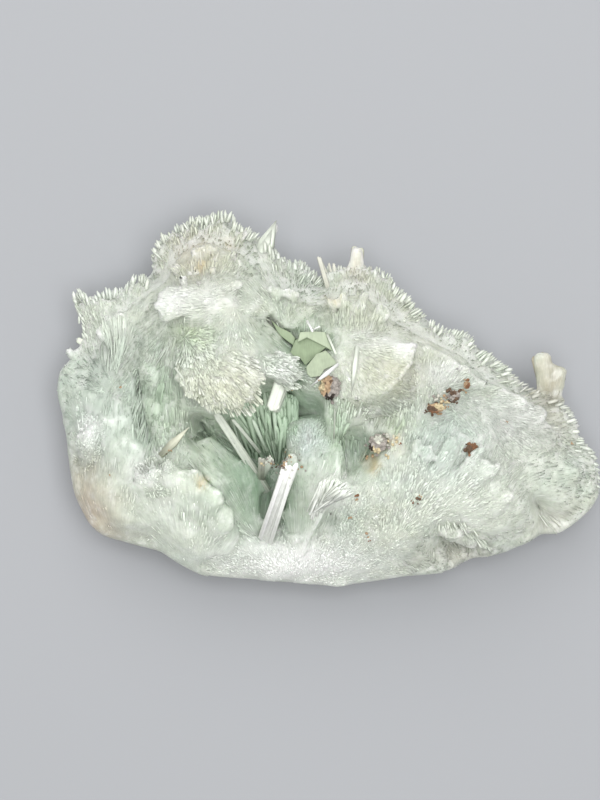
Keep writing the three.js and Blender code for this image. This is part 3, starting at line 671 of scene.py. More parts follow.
@dataclass
class CrystalMass:
    """The grown mass under the fibres.

    Args:
        growths: who owns each place.
        cell: size of the mesh's faces, mm.
        soften: rounds of smoothing.
        calming: further rounds where the growth is calm.
        melting: further rounds where its lumps run together.
        regain: how far those places are let out again at the rim, mm.
    """

    growths: Growths
    cell: float = 0.37
    soften: int = 6
    calming: int = 45
    melting: int = 160
    regain: float = 0.7

    LINES = 14.0  # how many ribs a spray has, for each radian
    UNDER = 0.05  # how far the mass lies under its fibres, mm
    BEHIND_TEETH = 0.15  # and further behind the teeth of a rim, mm

    def build(self) -> bpy.types.Object:
        """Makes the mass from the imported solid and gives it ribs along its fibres."""
        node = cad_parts["aragonite_cluster"]
        mesh = node.data.copy()
        piece = bpy.data.objects.new("crystal_mass", mesh)
        bpy.context.collection.objects.link(piece)
        mesh.transform(node.matrix_world)
        one_object(piece)
        with edit_mode("SELECT"):
            bpy.ops.mesh.remove_doubles(threshold=1e-6)
        remesh = piece.modifiers.new("cells", "REMESH")
        remesh.mode = "VOXEL"
        remesh.voxel_size = self.cell * MM
        smooth = piece.modifiers.new("soften", "SMOOTH")
        smooth.factor = 0.5
        smooth.iterations = self.soften
        apply_modifiers(piece)
        self.calm(piece)
        self.rib(piece.data)
        return piece

    def calm(self, piece: bpy.types.Object) -> None:
        """Smooths the silky places further, and melts the lumps of the tops together."""
        points = corners_of(piece.data) / MM
        shares = self.growths.habits(self.growths.own(points), "calm")
        self.relax(piece, np.where(points[:, 2] > GROWN_ABOVE - 2, shares, 0), self.calming)
        points = corners_of(piece.data) / MM
        melt = np.zeros(len(points))
        for at, size in MELTS:
            offset = (points - packed(at)) / np.array(size)
            melt = np.maximum(melt, np.exp(-np.sum(offset**4, axis=1)))
        self.relax(piece, np.round(melt, 1), self.melting)

    def relax(self, piece: bpy.types.Object, shares: np.ndarray, rounds: int) -> None:
        """Smooths each corner of a piece by its own share, for a number of rounds."""
        group = piece.vertex_groups.new(name="relax")
        for share in sorted(set(shares.tolist())):
            group.add(np.flatnonzero(shares == share).tolist(), share, "REPLACE")
        smooth = piece.modifiers.new("relax", "SMOOTH")
        smooth.factor = 0.5
        smooth.iterations = rounds
        smooth.vertex_group = group.name
        apply_modifiers(piece)
        piece.vertex_groups.clear()

    def rib(self, mesh: bpy.types.Mesh) -> None:
        """Moves the surface in and out along its fibres, draws it in behind the teeth, and paints it, with
        painted shade in the cracks.
        """
        points = corners_of(mesh) / MM
        normals = corners_of(mesh, "normal")
        owners = self.growths.own(points)
        ways = self.growths.ways(points, owners)
        grown = np.clip((points[:, 2] - GROWN_ABOVE + 2) / 2, 0, 1)
        back = unit(points - np.array(BACK_FOCUS))
        ways = unit(ways * grown[:, None] + back * (1 - grown[:, None]))
        reach = np.linalg.norm(points - self.growths.foci[owners], axis=1)
        # Places that hardly change along a fibre, and lie apart for each spray.
        fibre = ways * self.LINES + 0.02 * reach[:, None] + owners[:, None] * 3.7
        relief = self.growths.habits(owners, "relief") * grown + Growth.BROKEN.value.relief * (1 - grown)
        ribs = wobble(fibre, 1.0, 2.0) + 0.6 * wobble(fibre, 2.3, 9.0)
        crumbs = wobble(points, 0.9, 21.0) * 0.5
        level = np.linalg.norm(normals[:, :2], axis=1)
        drawn_in = self.UNDER + self.BEHIND_TEETH * self.growths.toothed(owners) * grown * level
        drawn_in -= self.regain * self.growths.habits(owners, "calm") * grown * level
        crack_and_shade = self.crack_and_shade(points)
        shift = np.where(points[:, 2] < SEAT, 0.0, relief * (ribs + crumbs) - drawn_in) - crack_and_shade
        points = points + normals * shift[:, None]
        mesh.vertices.foreach_set("co", (points * MM).ravel())
        mesh.update()
        comb_lines(mesh, fibre)
        band = 0.3 * np.clip(wobble(fibre, 0.35, 50.0), 0, 1)
        rim = 0.4 * self.growths.toothed(owners) * grown * np.clip(level * 2 - 0.5, 0, 1)
        colour = mixed(tints(points), Tone.WHITE, np.maximum(band, rim)[:, None])
        # Painted shade: the colour darkens where the cracks cut in.
        paint(mesh, colour * (1 - 0.5 * np.clip(crack_and_shade, 0, 1))[:, None])

    def crack_and_shade(self, points: np.ndarray) -> np.ndarray:
        """How deep the cracks cut in at each point, mm, which also sets how much painted shade darkens them.
        """
        depth = np.zeros(len(points))
        for start, end, width, cut in CRACKS:
            head = np.array(start) + MIDDLE_SHIFT[:2]
            run = np.array(end) - np.array(start)
            share = np.clip((points[:, :2] - head) @ run / (run @ run), 0, 1)
            away = np.linalg.norm(points[:, :2] - head - share[:, None] * run, axis=1)
            depth = np.maximum(depth, cut * np.exp(-((away / width) ** 2)) * (points[:, 2] > 12))
        return depth

    def dress(self, piece: bpy.types.Object) -> None:
        """Gives the mass its finish and its place in the frame."""
        piece.data.materials.clear()
        piece.data.materials.append(MASS_FINISH.make(streaked=True))
        one_object(piece)
        bpy.ops.object.shade_smooth()
        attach(piece, "root")
        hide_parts("aragonite_cluster")


def pattern_of(piece: bpy.types.Object) -> Pattern:
    """Takes the corners and faces of a modelled piece, and removes it.

    Args:
        piece: the piece, modelled once to be copied.

    Returns:
        Its corners, and its faces by number of sides.
    """
    one_object(piece)
    bpy.ops.object.transform_apply(location=True, rotation=True, scale=True)
    mesh = piece.data
    corners = corners_of(mesh)
    sides = sorted({len(face.vertices) for face in mesh.polygons})
    faces = [np.array([face.vertices[:] for face in mesh.polygons if len(face.vertices) == n]) for n in sides]
    bpy.data.objects.remove(piece)
    bpy.data.meshes.remove(mesh)
    return corners, faces


@dataclass
class CrystalShape:
    """One crystal of unit size, to be copied: its foot at zero, its tip at 1 along Z.

    Args:
        sides: number of its faces round.
        shoulder: how far along the tip begins.
        foot_size: width of its foot, as a share of its shoulder's.
        tip_size: width of its tip, as a share of its shoulder's.
        turn: its turn about its length, degrees.
    """

    sides: int
    shoulder: float
    foot_size: float
    tip_size: float
    turn: float = 0.0

    def build(self) -> Pattern:
        """Models the crystal.

        Returns:
            Its corners, and its faces by number of sides.
        """
        deselect()
        bpy.ops.mesh.primitive_cone_add(
            vertices=self.sides, radius1=0.5 * self.foot_size, radius2=0.5, depth=self.shoulder,
            location=(0, 0, self.shoulder / 2), rotation=(0, 0, math.radians(self.turn)),
            end_fill_type="NGON")
        pattern = bpy.context.active_object
        if self.shoulder == 1:
            return pattern_of(pattern)
        with edit_mode("DESELECT"):
            pass
        for face in pattern.data.polygons:
            face.select = face.normal.z > 0.9
        with edit_mode():
            bpy.ops.mesh.extrude_region_move(TRANSFORM_OT_translate={"value": (0, 0, 1 - self.shoulder)})
            bpy.ops.transform.resize(value=(self.tip_size, self.tip_size, 1))
            if self.tip_size < 0.1:
                bpy.ops.mesh.merge(type="CENTER")
        return pattern_of(pattern)


@dataclass
class Crop:
    """Many crystals, row by row.

    Args:
        feet: where they start, mm.
        ways: which way they point.
        lengths: their lengths, mm.
        widths: their widths, mm.
        tint: their colours.
    """

    feet: np.ndarray
    ways: np.ndarray
    lengths: np.ndarray
    widths: np.ndarray
    tint: np.ndarray

    def pick(self, rows: np.ndarray) -> "Crop":
        """The crop of those rows alone."""
        return Crop(*(values[rows] for values in vars(self).values()))

    def up(self, share: float) -> np.ndarray:
        """The places at a share of each crystal's length, mm."""
        return self.feet + self.ways * self.lengths[:, None] * share

    def plant(self, name: str, pattern: Pattern, flatness: float, facing: np.ndarray) -> bpy.types.Object:
        """Copies a crystal to every row, as one joined mesh.

        Args:
            name: the piece's name.
            pattern: the corners and faces of the crystal.
            flatness: its thickness as a share of its width.
            facing: the way that each copy's flat side looks.

        Returns:
            The piece.
        """
        corners, faces = pattern
        count = len(self.feet)
        spare = unit(facing)
        across = unit(np.cross(self.ways, spare))
        through = np.cross(self.ways, across)
        points = (
            self.feet[:, None, :]
            + corners[None, :, 0, None] * (across * self.widths[:, None])[:, None, :]
            + corners[None, :, 1, None] * (through * self.widths[:, None] * flatness)[:, None, :]
            + corners[None, :, 2, None] * (self.ways * self.lengths[:, None])[:, None, :]
        )
        steps = (np.arange(count) * len(corners))[:, None, None]
        blocks = [(block[None] + steps).reshape(-1, block.shape[1]) for block in faces]
        tint = np.repeat(self.tint, len(corners), axis=0)
        piece = write_mesh(name, points.reshape(-1, 3) * MM, blocks, tint)
        lines = corners * (9.0, 9.0, 0.8) + np.arange(count)[:, None, None] * 5.3
        comb_lines(piece.data, lines.reshape(-1, 3))
        return piece


def join_crops(crops: list[Crop]) -> Crop:
    """Puts several crops together, in order."""
    return Crop(*(np.concatenate(values) for values in zip(*(vars(crop).values() for crop in crops))))


def turned(ways: np.ndarray, degrees: np.ndarray, chance: np.random.Generator) -> np.ndarray:
    """Directions that stray from the given ones.

    Args:
        ways: directions of length 1.
        degrees: how far each one may stray, as a spread.
        chance: the source of chance.

    Returns:
        Directions of length 1.
    """
    spread = np.tan(np.radians(degrees))[:, None]
    return unit(ways + chance.normal(size=ways.shape) * spread * 0.6)


def crowded(points: np.ndarray) -> np.ndarray:
    """Which points lie on a blade or in a grain, where no fibre grows.

    Args:
        points: places, mm.

    Returns:
        True for each such point.
    """
    taken = np.zeros(len(points), dtype=bool)
    for blade in BLADES:
        foot = packed(blade.foot)
        run = np.array(blade.tip) - np.array(blade.foot)
        share = np.clip((points - foot) @ run / (run @ run), 0.15, 1)
        away = np.linalg.norm(points - foot - share[:, None] * run, axis=1)
        taken |= away < blade.width * BLADE_ROOM
    for grain in GRAINS:
        middle, half = grain.room(MM)
        taken |= np.linalg.norm((points - middle) / half, axis=1) < GRAIN_ROOM
    return taken


@dataclass
class FibreCoat:
    """The fine fibres that lie on the mass.

    Args:
        growths: who owns each place.
        mass: the mass that they lie on.
        count: number of fibres.
        roll: how far fibres roll about their length.
        bands: names of the pieces, each with its lowest and highest place along X, mm.
    """

    growths: Growths
    mass: bpy.types.Object
    count: int = 24000
    roll: float = 0.3
    bands: tuple[tuple[str, float, float], ...] = (
        ("fibres_left", -99.0, -20.0),
        ("fibres_mid_left", -20.0, -8.0),
        ("fibres_middle", -8.0, 5.0),
        ("fibres_mid_right", 5.0, 17.0),
        ("fibres_right", 17.0, 99.0),
    )

    LENGTHS = (0.5, 1.3)  # spreads about the habit's own length and rise
    RISES = (0.0, 2.0)
    GLINTS = (0.95, 1.06)
    BRIGHT = 1.25  # glint of the few bright ones
    BRIGHT_SHARE = 0.12
    PALEST = 0.92

    def places(self, chance: np.random.Generator) -> tuple[np.ndarray, np.ndarray]:
        """Spreads places over the grown side of the mass, closer where its sprays are thick.

        Args:
            chance: the source of chance.

        Returns:
            Places in mm, and the surface's normals there.
        """
        mesh = self.mass.data
        mesh.calc_loop_triangles()
        rows = np.empty(len(mesh.loop_triangles) * 3, dtype=np.int64)
        mesh.loop_triangles.foreach_get("vertices", rows)
        sides = corners_of(mesh)[rows.reshape(-1, 3)] / MM
        cross = np.cross(sides[:, 1] - sides[:, 0], sides[:, 2] - sides[:, 0])
        area = np.linalg.norm(cross, axis=1) / 2
        middle = sides.mean(axis=1)
        normal = unit(cross)
        grown = np.clip((middle[:, 2] - GROWN_ABOVE) / 2, 0, 1) * np.clip(normal[:, 2] * 2.4 - 1.1, 0, 1)
        weight = area * grown * self.growths.habits(self.growths.own(middle), "cover")
        pick = chance.choice(len(area), size=self.count, p=weight / weight.sum())
        u = np.sqrt(chance.random(self.count))[:, None]
        v = chance.random(self.count)[:, None]
        chosen = sides[pick]
        places = chosen[:, 0] * (1 - u) + chosen[:, 1] * u * (1 - v) + chosen[:, 2] * u * v
        return places, normal[pick]

    def settle(self, points: np.ndarray, surface: BVHTree, rise: np.ndarray) -> np.ndarray:
        """Brings points to the surface.

        Args:
            points: places, mm.
            surface: the mass.
            rise: how far off the surface each one ends, mm.

        Returns:
            The new places, mm.
        """
        found = [surface.find_nearest(Vector(row)) for row in (points * MM).tolist()]
        on = np.array([hit[0][:] for hit in found]) / MM
        out = np.array([hit[1][:] for hit in found])
        return on + out * rise[:, None]

    def grow(self, chance: np.random.Generator) -> tuple[Crop, np.ndarray]:
        """Lays a fibre at every place, along its own spray.

        Args:
            chance: the source of chance.

        Returns:
            The fibres, and the way that each one faces.
        """
        places, normals = self.places(chance)
        owners = self.growths.own(places)
        ways = self.growths.ways(places, owners)
        ways = turned(ways, self.growths.habits(owners, "scatter"), chance)
        ways = unit(ways - 0.9 * normals * np.sum(ways * normals, axis=1)[:, None])
        lengths = self.growths.habits(owners, "length") * chance.uniform(*self.LENGTHS, self.count)
        stoutness = 0.55 + np.minimum(chance.exponential(0.5, self.count), 1.6)
        widths = self.growths.habits(owners, "width") * stoutness
        rise = self.growths.habits(owners, "rise") * chance.uniform(*self.RISES, self.count)
        surface = BVHTree.FromObject(self.mass, bpy.context.evaluated_depsgraph_get())
        feet = self.settle(places - ways * lengths[:, None] * 0.5, surface, -widths * 0.5)
        tips = self.settle(places + ways * lengths[:, None] * 0.5, surface, rise)
        span = tips - feet
        lengths = np.linalg.norm(span, axis=1)
        bright = chance.random(self.count) < self.BRIGHT_SHARE
        glint = np.where(bright, self.BRIGHT, chance.uniform(*self.GLINTS, self.count))[:, None]
        facing = normals + self.roll * chance.normal(size=normals.shape)
        return Crop(feet, unit(span), lengths, widths, np.clip(tints(places) * glint, 0, self.PALEST)), facing

    def build(self, chance: np.random.Generator) -> list[bpy.types.Object]:
        """Makes the coat, in bands from left to right."""
        lath = CrystalShape(sides=3, shoulder=1, foot_size=0.45, tip_size=1).build()
        crop, facing = self.grow(chance)
        free = ~crowded(crop.up(0.6))
        pieces = []
        for name, low, high in self.bands:
            rows = free & (crop.feet[:, 0] >= low) & (crop.feet[:, 0] < high)
            pieces.append(crop.pick(rows).plant(name, lath, 1.0, facing[rows]))
        return pieces


@dataclass
class Combs:
    """The free crystals along the edges of the sprays, and the large teeth along their rims.

    Args:
        depth: how far above and below the edge the fine ones stand, mm.
        highest: where the object ends, mm.
        tooth_gap: distance from tooth to tooth, mm.
    """

    depth: float = 0.9
    highest: float = 26.2
    tooth_gap: float = 0.19

    NEEDLE_STRAY = 8.0  # degrees
    NEEDLE_LENGTHS = (0.6, 1.2)  # spreads about the spray's own sizes
    NEEDLE_WIDTHS = (0.5, 1.3)
    NEEDLE_GLINTS = (0.92, 1.1)
    TOOTH_STRAY = 16.0  # degrees
    TOOTH_REACH = (-0.5, 0.15)  # past the edge, mm
    TOOTH_RISE = (-3.0, 0.8)  # above the edge, mm
    TOOTH_LENGTHS = (1.0, 1.7)  # mm
    TOOTH_WIDTHS = (0.26, 0.6)  # mm
    TOOTH_GLINTS = (0.86, 1.0)

    def comb(self, spray: Spray, chance: np.random.Generator) -> Crop:
        """Stands fine crystals along a spray's edge, with their tips at it."""
        count = spray.comb
        tips = packed(spray.along(chance.random(count)))
        focus = packed(spray.focus)
        below = chance.random(count) ** 2.2
        notch = 0.1 + 0.5 * wobble(tips, 1.3, 31.0)
        reach = np.linalg.norm(focus - tips, axis=1)
        tips = tips + (focus - tips) * (below * 0.25 + np.clip(notch, 0, 1) / reach)[:, None]
        tips[:, 2] += chance.normal(size=count) * self.depth * (0.3 + below)
        tips[:, 2] = np.minimum(tips[:, 2], self.highest)
        ways = turned(unit(tips - focus), np.full(count, self.NEEDLE_STRAY), chance)
        lengths = spray.size[0] * chance.uniform(*self.NEEDLE_LENGTHS, count)
        widths = spray.size[1] * chance.uniform(*self.NEEDLE_WIDTHS, count)
        glint = chance.uniform(*self.NEEDLE_GLINTS, count)[:, None]
        tint = np.clip(tints(tips) * glint, 0, BRIGHTEST)
        return Crop(tips - ways * lengths[:, None], ways, lengths, widths, tint)

    def teeth(self, spray: Spray, chance: np.random.Generator) -> Crop:
        """Stands large teeth side by side along a spray's edge, and past it."""
        run = np.linalg.norm(np.diff(np.array(spray.edge), axis=0), axis=1).sum()
        count = round(run / self.tooth_gap)
        shares = (np.arange(count) + chance.uniform(-0.4, 0.4, count)) / count
        tips = packed(spray.along(np.clip(shares, 0, 1)))
        ways = unit((tips - packed(spray.focus)) * (1, 1, 0.5))
        ways = turned(ways, np.full(count, self.TOOTH_STRAY), chance)
        tips = tips + ways * chance.uniform(*self.TOOTH_REACH, count)[:, None]
        tips[:, 2] += chance.uniform(*self.TOOTH_RISE, count)
        lengths = chance.uniform(*self.TOOTH_LENGTHS, count)
        widths = chance.uniform(*self.TOOTH_WIDTHS, count)
        glint = chance.uniform(*self.TOOTH_GLINTS, count)[:, None]
        tint = mixed(tints(tips), Tone.WHITE, 0.25) * glint
        return Crop(tips - ways * lengths[:, None], ways, lengths, widths, tint)

    def build(self, chance: np.random.Generator) -> list[bpy.types.Object]:
        """Makes the fine crystals as one piece, and the teeth as another."""
        fine = join_crops([self.comb(spray, chance) for spray in SPRAYS.values() if spray.comb])
        fine = fine.pick(~crowded(fine.up(0.8)))
        large = join_crops([self.teeth(spray, chance) for spray in SPRAYS.values() if spray.toothed])
        needle = CrystalShape(sides=4, shoulder=0.85, foot_size=0.6, tip_size=0.4).build()
        tooth = CrystalShape(sides=6, shoulder=0.65, foot_size=0.9, tip_size=0.25).build()
        upward = np.array((0.0, 0.0, 1.2))
        return [fine.plant("free_crystals", needle, 0.5, upward + chance.normal(size=fine.feet.shape) * 0.5),
                large.plant("rim_teeth", tooth, 0.65, upward + chance.normal(size=large.feet.shape) * 0.6)]


@dataclass(frozen=True)
class Blade:
    """A large clear crystal that stands alone.

    Args:
        foot: where it starts, mm.
        tip: where it ends, mm.
        width: its width, mm.
        tone: its colour.
        end: width of its end, as a share of its own.
        pointed: whether it is one pointed shard.
    """

    foot: Triple
    tip: Triple
    width: float
    tone: Tone
    end: float = 0.7
    pointed: bool = False


BLADES: tuple[Blade, ...] = tuple(
    Blade(row[:3], row[3:6], row[6], Tone[row[7]], *row[8:])
    for row in (
        (-9.1, -19.8, 11.2, -5.0, -7.7, 21.0, 1.9, "SNOW", 1.5),
        (-9.7, -19.5, 11.6, -6.2, -9.4, 20.2, 0.9, "SNOW", 0.9),
        (-8.2, -19.8, 11.8, -5.3, -10.6, 19.8, 0.9, "SNOW", 0.8),
        (-8.2, -12, 12, -14.8, -1.6, 18.6, 1.35, "PALE"), (-9.2, -6.9, 13, -12.9, -2.25, 17, 0.7, "PALE"),
        (-9.2, -10, 13, -7.6, -7.3, 18.8, 1.5, "PALE"), (-9.0, -10.4, 13, -8.9, -7.4, 18.2, 1.3, "GREY"),
        (-5.7, 4, 21.2, -7.6, -1.4, 22.3, 2.2, "PALE"), (-0.5, 8.4, 20, 0.6, 5.8, 21.4, 0.4, "PALE"),
        (0, 13.5, 13, -1.6, 18.9, 13.5, 0.9, "GREY"), (0.8, 14, 12.5, -1.5, 18.7, 13, 0.5, "GREY"),
        (0.8, 14, 12.5, -0.3, 18.1, 13, 0.6, "GREY"), (0.8, 14, 12.5, 0.4, 17.9, 13, 0.6, "GREY"),
        (3, 13, 12, 3.6, 20.2, 12, 2.3, "CREAM"), (29, -2, 9.5, 26.9, 5.9, 10.2, 1.5, "BUFF"),
        (29, -2, 9.5, 27.8, 6.4, 10.5, 1.6, "BUFF"), (29, -2, 9.5, 28.6, 5.7, 10.1, 1.6, "BUFF"),
        (29, -2, 9.5, 30.0, 4.7, 10, 1.6, "BUFF"), (29, -2, 9.5, 30.7, 3.4, 9.8, 1.4, "BUFF"),
        (-28, 5, 9, -33.6, 8.1, 9.5, 1.2, "MIST"), (-28, 3.5, 9, -34.7, 6.4, 9.5, 1.1, "PALE"),
        (0.4, -5, 18, 0.5, 0.2, 22, 0.3, "PALE"), (-3.1, 10.2, 19.5, -2.3, 8.6, 20.7, 0.4, "WHITE"),
        (-2.4, 8.9, 20.3, -1.4, 9.4, 20.9, 0.35, "WHITE"), (-19.8, 4.1, 23.3, -17.8, 1.5, 24.0, 0.35, "PALE"),
    )
) + tuple(
    Blade(row[:3], row[3:6], row[6], Tone[row[7]], pointed=True)
    for row in (
        (-21.9, -7.2, 18.5, -17.8, -3.2, 22.5, 1.3, "CREAM"), (3.3, 6.8, 21.6, 2.5, 0.4, 23.4, 0.9, "PALE"),
        (-9.4, 18, 12, -7, 23.7, 12.4, 2.6, "PALE"), (-9.4, 18, 12.5, -7.5, 22.6, 13, 1.7, "PALE"),
        (0.9, 4.6, 23, -2.9, 1.5, 24.4, 0.7, "WHITE"),
    )
)


class ClearBlades:
    """The large crystals that stand alone, each a bundle of laths grown side by side."""

    LATHS_PER_MM = 2.6
    LATH_WIDTHS = (0.36, 0.5)  # shares of the blade's width
    LATH_REACH = (0.93, 1.0)  # shares of its length
    SPREAD = 0.6  # how far the laths lie apart, as a share of its width
    GLINTS = (0.92, 1.06)

    def bundle(self, blade: Blade, chance: np.random.Generator) -> Crop:
        """Splits a blade into its laths: two for a thin one, up to six for a wide one, one for a shard."""
        count = 1 if blade.pointed else int(np.clip(round(blade.width * self.LATHS_PER_MM), 2, 6))
        foot = packed(blade.foot)
        span = packed(blade.tip) - foot
        way = span / np.linalg.norm(span)
        across = np.cross(way, (0.0, 0.0, 1.0))
        across /= np.linalg.norm(across)
        through = np.cross(way, across)
        side = (np.arange(count) + 0.5) / count - 0.5
        feet = foot + across * (side * blade.width * self.SPREAD)[:, None]
        feet = feet + through * chance.uniform(-0.1, 0.1, count)[:, None] * blade.width
        tips = foot + span * chance.uniform(*self.LATH_REACH, count)[:, None]
        tips = tips + across * (side * blade.width * self.SPREAD * blade.end)[:, None]
        ways = unit(tips - feet)
        lengths = np.linalg.norm(tips - feet, axis=1)
        widths = blade.width * (np.ones(1) if blade.pointed else chance.uniform(*self.LATH_WIDTHS, count))
        tint = np.array(blade.tone.value) * chance.uniform(*self.GLINTS, count)[:, None]
        return Crop(feet, ways, lengths, widths, np.clip(tint, 0, BRIGHTEST))

    def build(self, chance: np.random.Generator) -> list[bpy.types.Object]:
        """Makes the blades as one piece, and the shards as another."""
        crop = join_crops([self.bundle(blade, chance) for blade in BLADES if not blade.pointed])
        pointed = join_crops([self.bundle(blade, chance) for blade in BLADES if blade.pointed])
        prism = CrystalShape(sides=6, shoulder=0.96, foot_size=0.95, tip_size=0.5, turn=90).build()
        shard = CrystalShape(sides=4, shoulder=0.45, foot_size=0.7, tip_size=0.05, turn=30).build()
        upward = np.array((0.0, 0.0, 1.0))
        return [crop.plant("clear_blades", prism, 0.4, upward + chance.normal(size=crop.feet.shape) * 0.15),
                pointed.plant("clear_shards", shard, 0.45, np.tile(upward, (len(pointed.feet), 1)))]


@dataclass(frozen=True)
class Facet:
    """A clear crystal that shows one flat face among the fibres.

    Args:
        corners: corners of its face on the plane, mm.
        plane: height of the face at zero, and its climb along x and y.
        depth: how far the crystal goes down, mm.
        tone: its colour.
    """

    corners: tuple[tuple[float, float], ...]
    plane: Triple
    depth: float
    tone: Tone

    def build(self) -> bpy.types.Object:
        """Models the crystal from a disc with as many corners."""
        flat = np.array(self.corners)
        height = self.plane[0] + flat @ np.array(self.plane[1:])
        points = packed(np.column_stack((flat, height)))
        deselect()
        bpy.ops.mesh.primitive_circle_add(vertices=len(flat), radius=MM, fill_type="NGON")
        piece = bpy.context.active_object
        piece.data.vertices.foreach_set("co", (points * MM).ravel())
        with edit_mode("SELECT"):
            bpy.ops.mesh.extrude_region_move(TRANSFORM_OT_translate={"value": (0, 0, -self.depth * MM)})
            bpy.ops.mesh.select_all(action="SELECT")
            bpy.ops.mesh.normals_make_consistent(inside=False)
        bevel = piece.modifiers.new("worn", "BEVEL")
        bevel.width = 0.07 * MM
        apply_modifiers(piece)
        corners = corners_of(piece.data) / MM
        comb_lines(piece.data, corners * (9.0, 0.8, 0.8))
        paint(piece.data, np.tile(np.array(self.tone.value), (len(corners), 1)))
        return piece


FACETS: tuple[Facet, ...] = (
    Facet(((-7.75, 10.4), (-6.8, 9.5), (-5.2, 8.7), (-4.6, 8), (-4.8, 7.0), (-6.4, 8.2), (-6.9, 8.8)),
          (18.4, 0.25, 0), 2.0, Tone.MOSS),
    Facet(((-4.6, 7.7), (-3.1, 8.4), (-0.3, 7.0), (-2, 5.6), (-3.3, 4.4), (-4, 5.4), (-5.3, 5.9)),
          (19.3, 0.3, 0), 2.5, Tone.MOSS),
    Facet(((-4, 8.7), (-2.2, 8.8), (-0.8, 8.7), (0.25, 6.15), (-0.57, 6.7), (-3.1, 8), (-4.3, 7.4)),
          (18.9, 0.2, 0.1), 2.5, Tone.JADE),
    Facet(((-3.2, 4.2), (-1.9, 5.85), (-0.7, 6.35), (0.2, 5.4), (0.8, 4.6), (-0.9, 3.9), (-1.4, 3.05),
           (-2.7, 2.9), (-3.1, 3.35)), (26.6, 0, -1.0), 2.5, Tone.JADE),
)


def join_facets() -> bpy.types.Object:
    """Models every facet and joins them into one piece."""
    facets = [facet.build() for facet in FACETS]
    deselect()
    for facet in facets:
        facet.select_set(True)
    bpy.context.view_layer.objects.active = facets[0]
    bpy.ops.object.join()
    piece = bpy.context.active_object
    piece.name = "crystal_facets"
    piece.data.name = piece.name
    return piece


@dataclass(frozen=True)
class Patch:
    """A patch of colour on a grain.

    Args:
        way: the side of the grain that it is on.
        reach: how far round it goes, 0 to 2.
        tone: its colour.
    """

    way: Triple
    reach: float
    tone: Tone


@dataclass(frozen=True)
class OreGrain:
    """A rough grain of the brown mineral, in the place of its solid.

    Args:
        node: the solid.
        slot: its material slot.
        tone: its main colour, and that of the loose crumbs round it.
        patches: its other colours.
        crumbs: number of loose crumbs.
    """

    node: str
    slot: str
    tone: Tone
    patches: tuple[Patch, ...]
    crumbs: int

    def room(self, measure: float = 1.0) -> tuple[np.ndarray, np.ndarray]:
        """The middle and the half sizes of the solid's box, in metres or by another measure."""
        low, high = (np.array(corner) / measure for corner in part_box(self.node))
        return (low + high) / 2, (high - low) / 2

    def build(self, number: int) -> bpy.types.Object:
        """Models the grain from a ball, as a clump of crumbs of several colours."""
        middle, half = self.room()
        deselect()
        bpy.ops.mesh.primitive_ico_sphere_add(subdivisions=5, radius=1.0)
        piece = bpy.context.active_object
        piece.name = self.node + "_grit"
        mesh = piece.data
        mesh.name = piece.name
        ball = corners_of(mesh)
        swell, cell = clumps(ball, 2.6, 5.0 * number)
        uneven = 0.1 * wobble(ball, 2.2, 3.0 + number)
        rough = 1.05 - 0.42 * swell + uneven + 0.06 * wobble(ball, 8.0, 8.0 + number)
        points = np.clip(ball * rough[:, None], -1, 1) * half + middle
        mesh.vertices.foreach_set("co", points.ravel())
        mesh.update()
        tint = np.tile(np.array(self.tone.value), (len(ball), 1))
        for patch in self.patches:
            way = np.array(patch.way) / np.linalg.norm(patch.way)
            inside = ball @ way + 0.25 * wobble(ball, 2.4, 6.0 + number) > 1 - patch.reach
            tint[inside] = patch.tone.value
        paint(mesh, tint * (0.8 + 0.4 * cell)[:, None])
        return piece

    def dress(self, piece: bpy.types.Object) -> None:
        """Gives the grain its finish and its place in the frame."""
        piece.data.materials.append(OreFinish(self.slot + " grit").make())
        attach(piece, "root")
        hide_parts(self.node)


def clumps(points: np.ndarray, scale: float, seed: float) -> tuple[np.ndarray, np.ndarray]:
    """The nearest cell of a crumbly pattern.

    Args:
        points: places.
        scale: how many cells there are for each unit.
        seed: moves the pattern.

    Returns:
        How far each point is from the middle of its cell, and a number of 0 to 1 for the cell.
    """
    away = np.empty(len(points))
    cell = np.empty(len(points))
    for index, row in enumerate((points * scale + seed).tolist()):
        distances, middles = noise.voronoi(Vector(row))
        away[index] = distances[0]
        cell[index] = noise.cell(middles[0] * 7.3)
    return np.clip(away, 0, 1), np.abs(cell) % 1


@dataclass(frozen=True)
class Speck:
    """A small speck of the brown mineral: its place on the face, its size and its colour."""

    at: tuple[float, float]
    radius: float
    tone: Tone


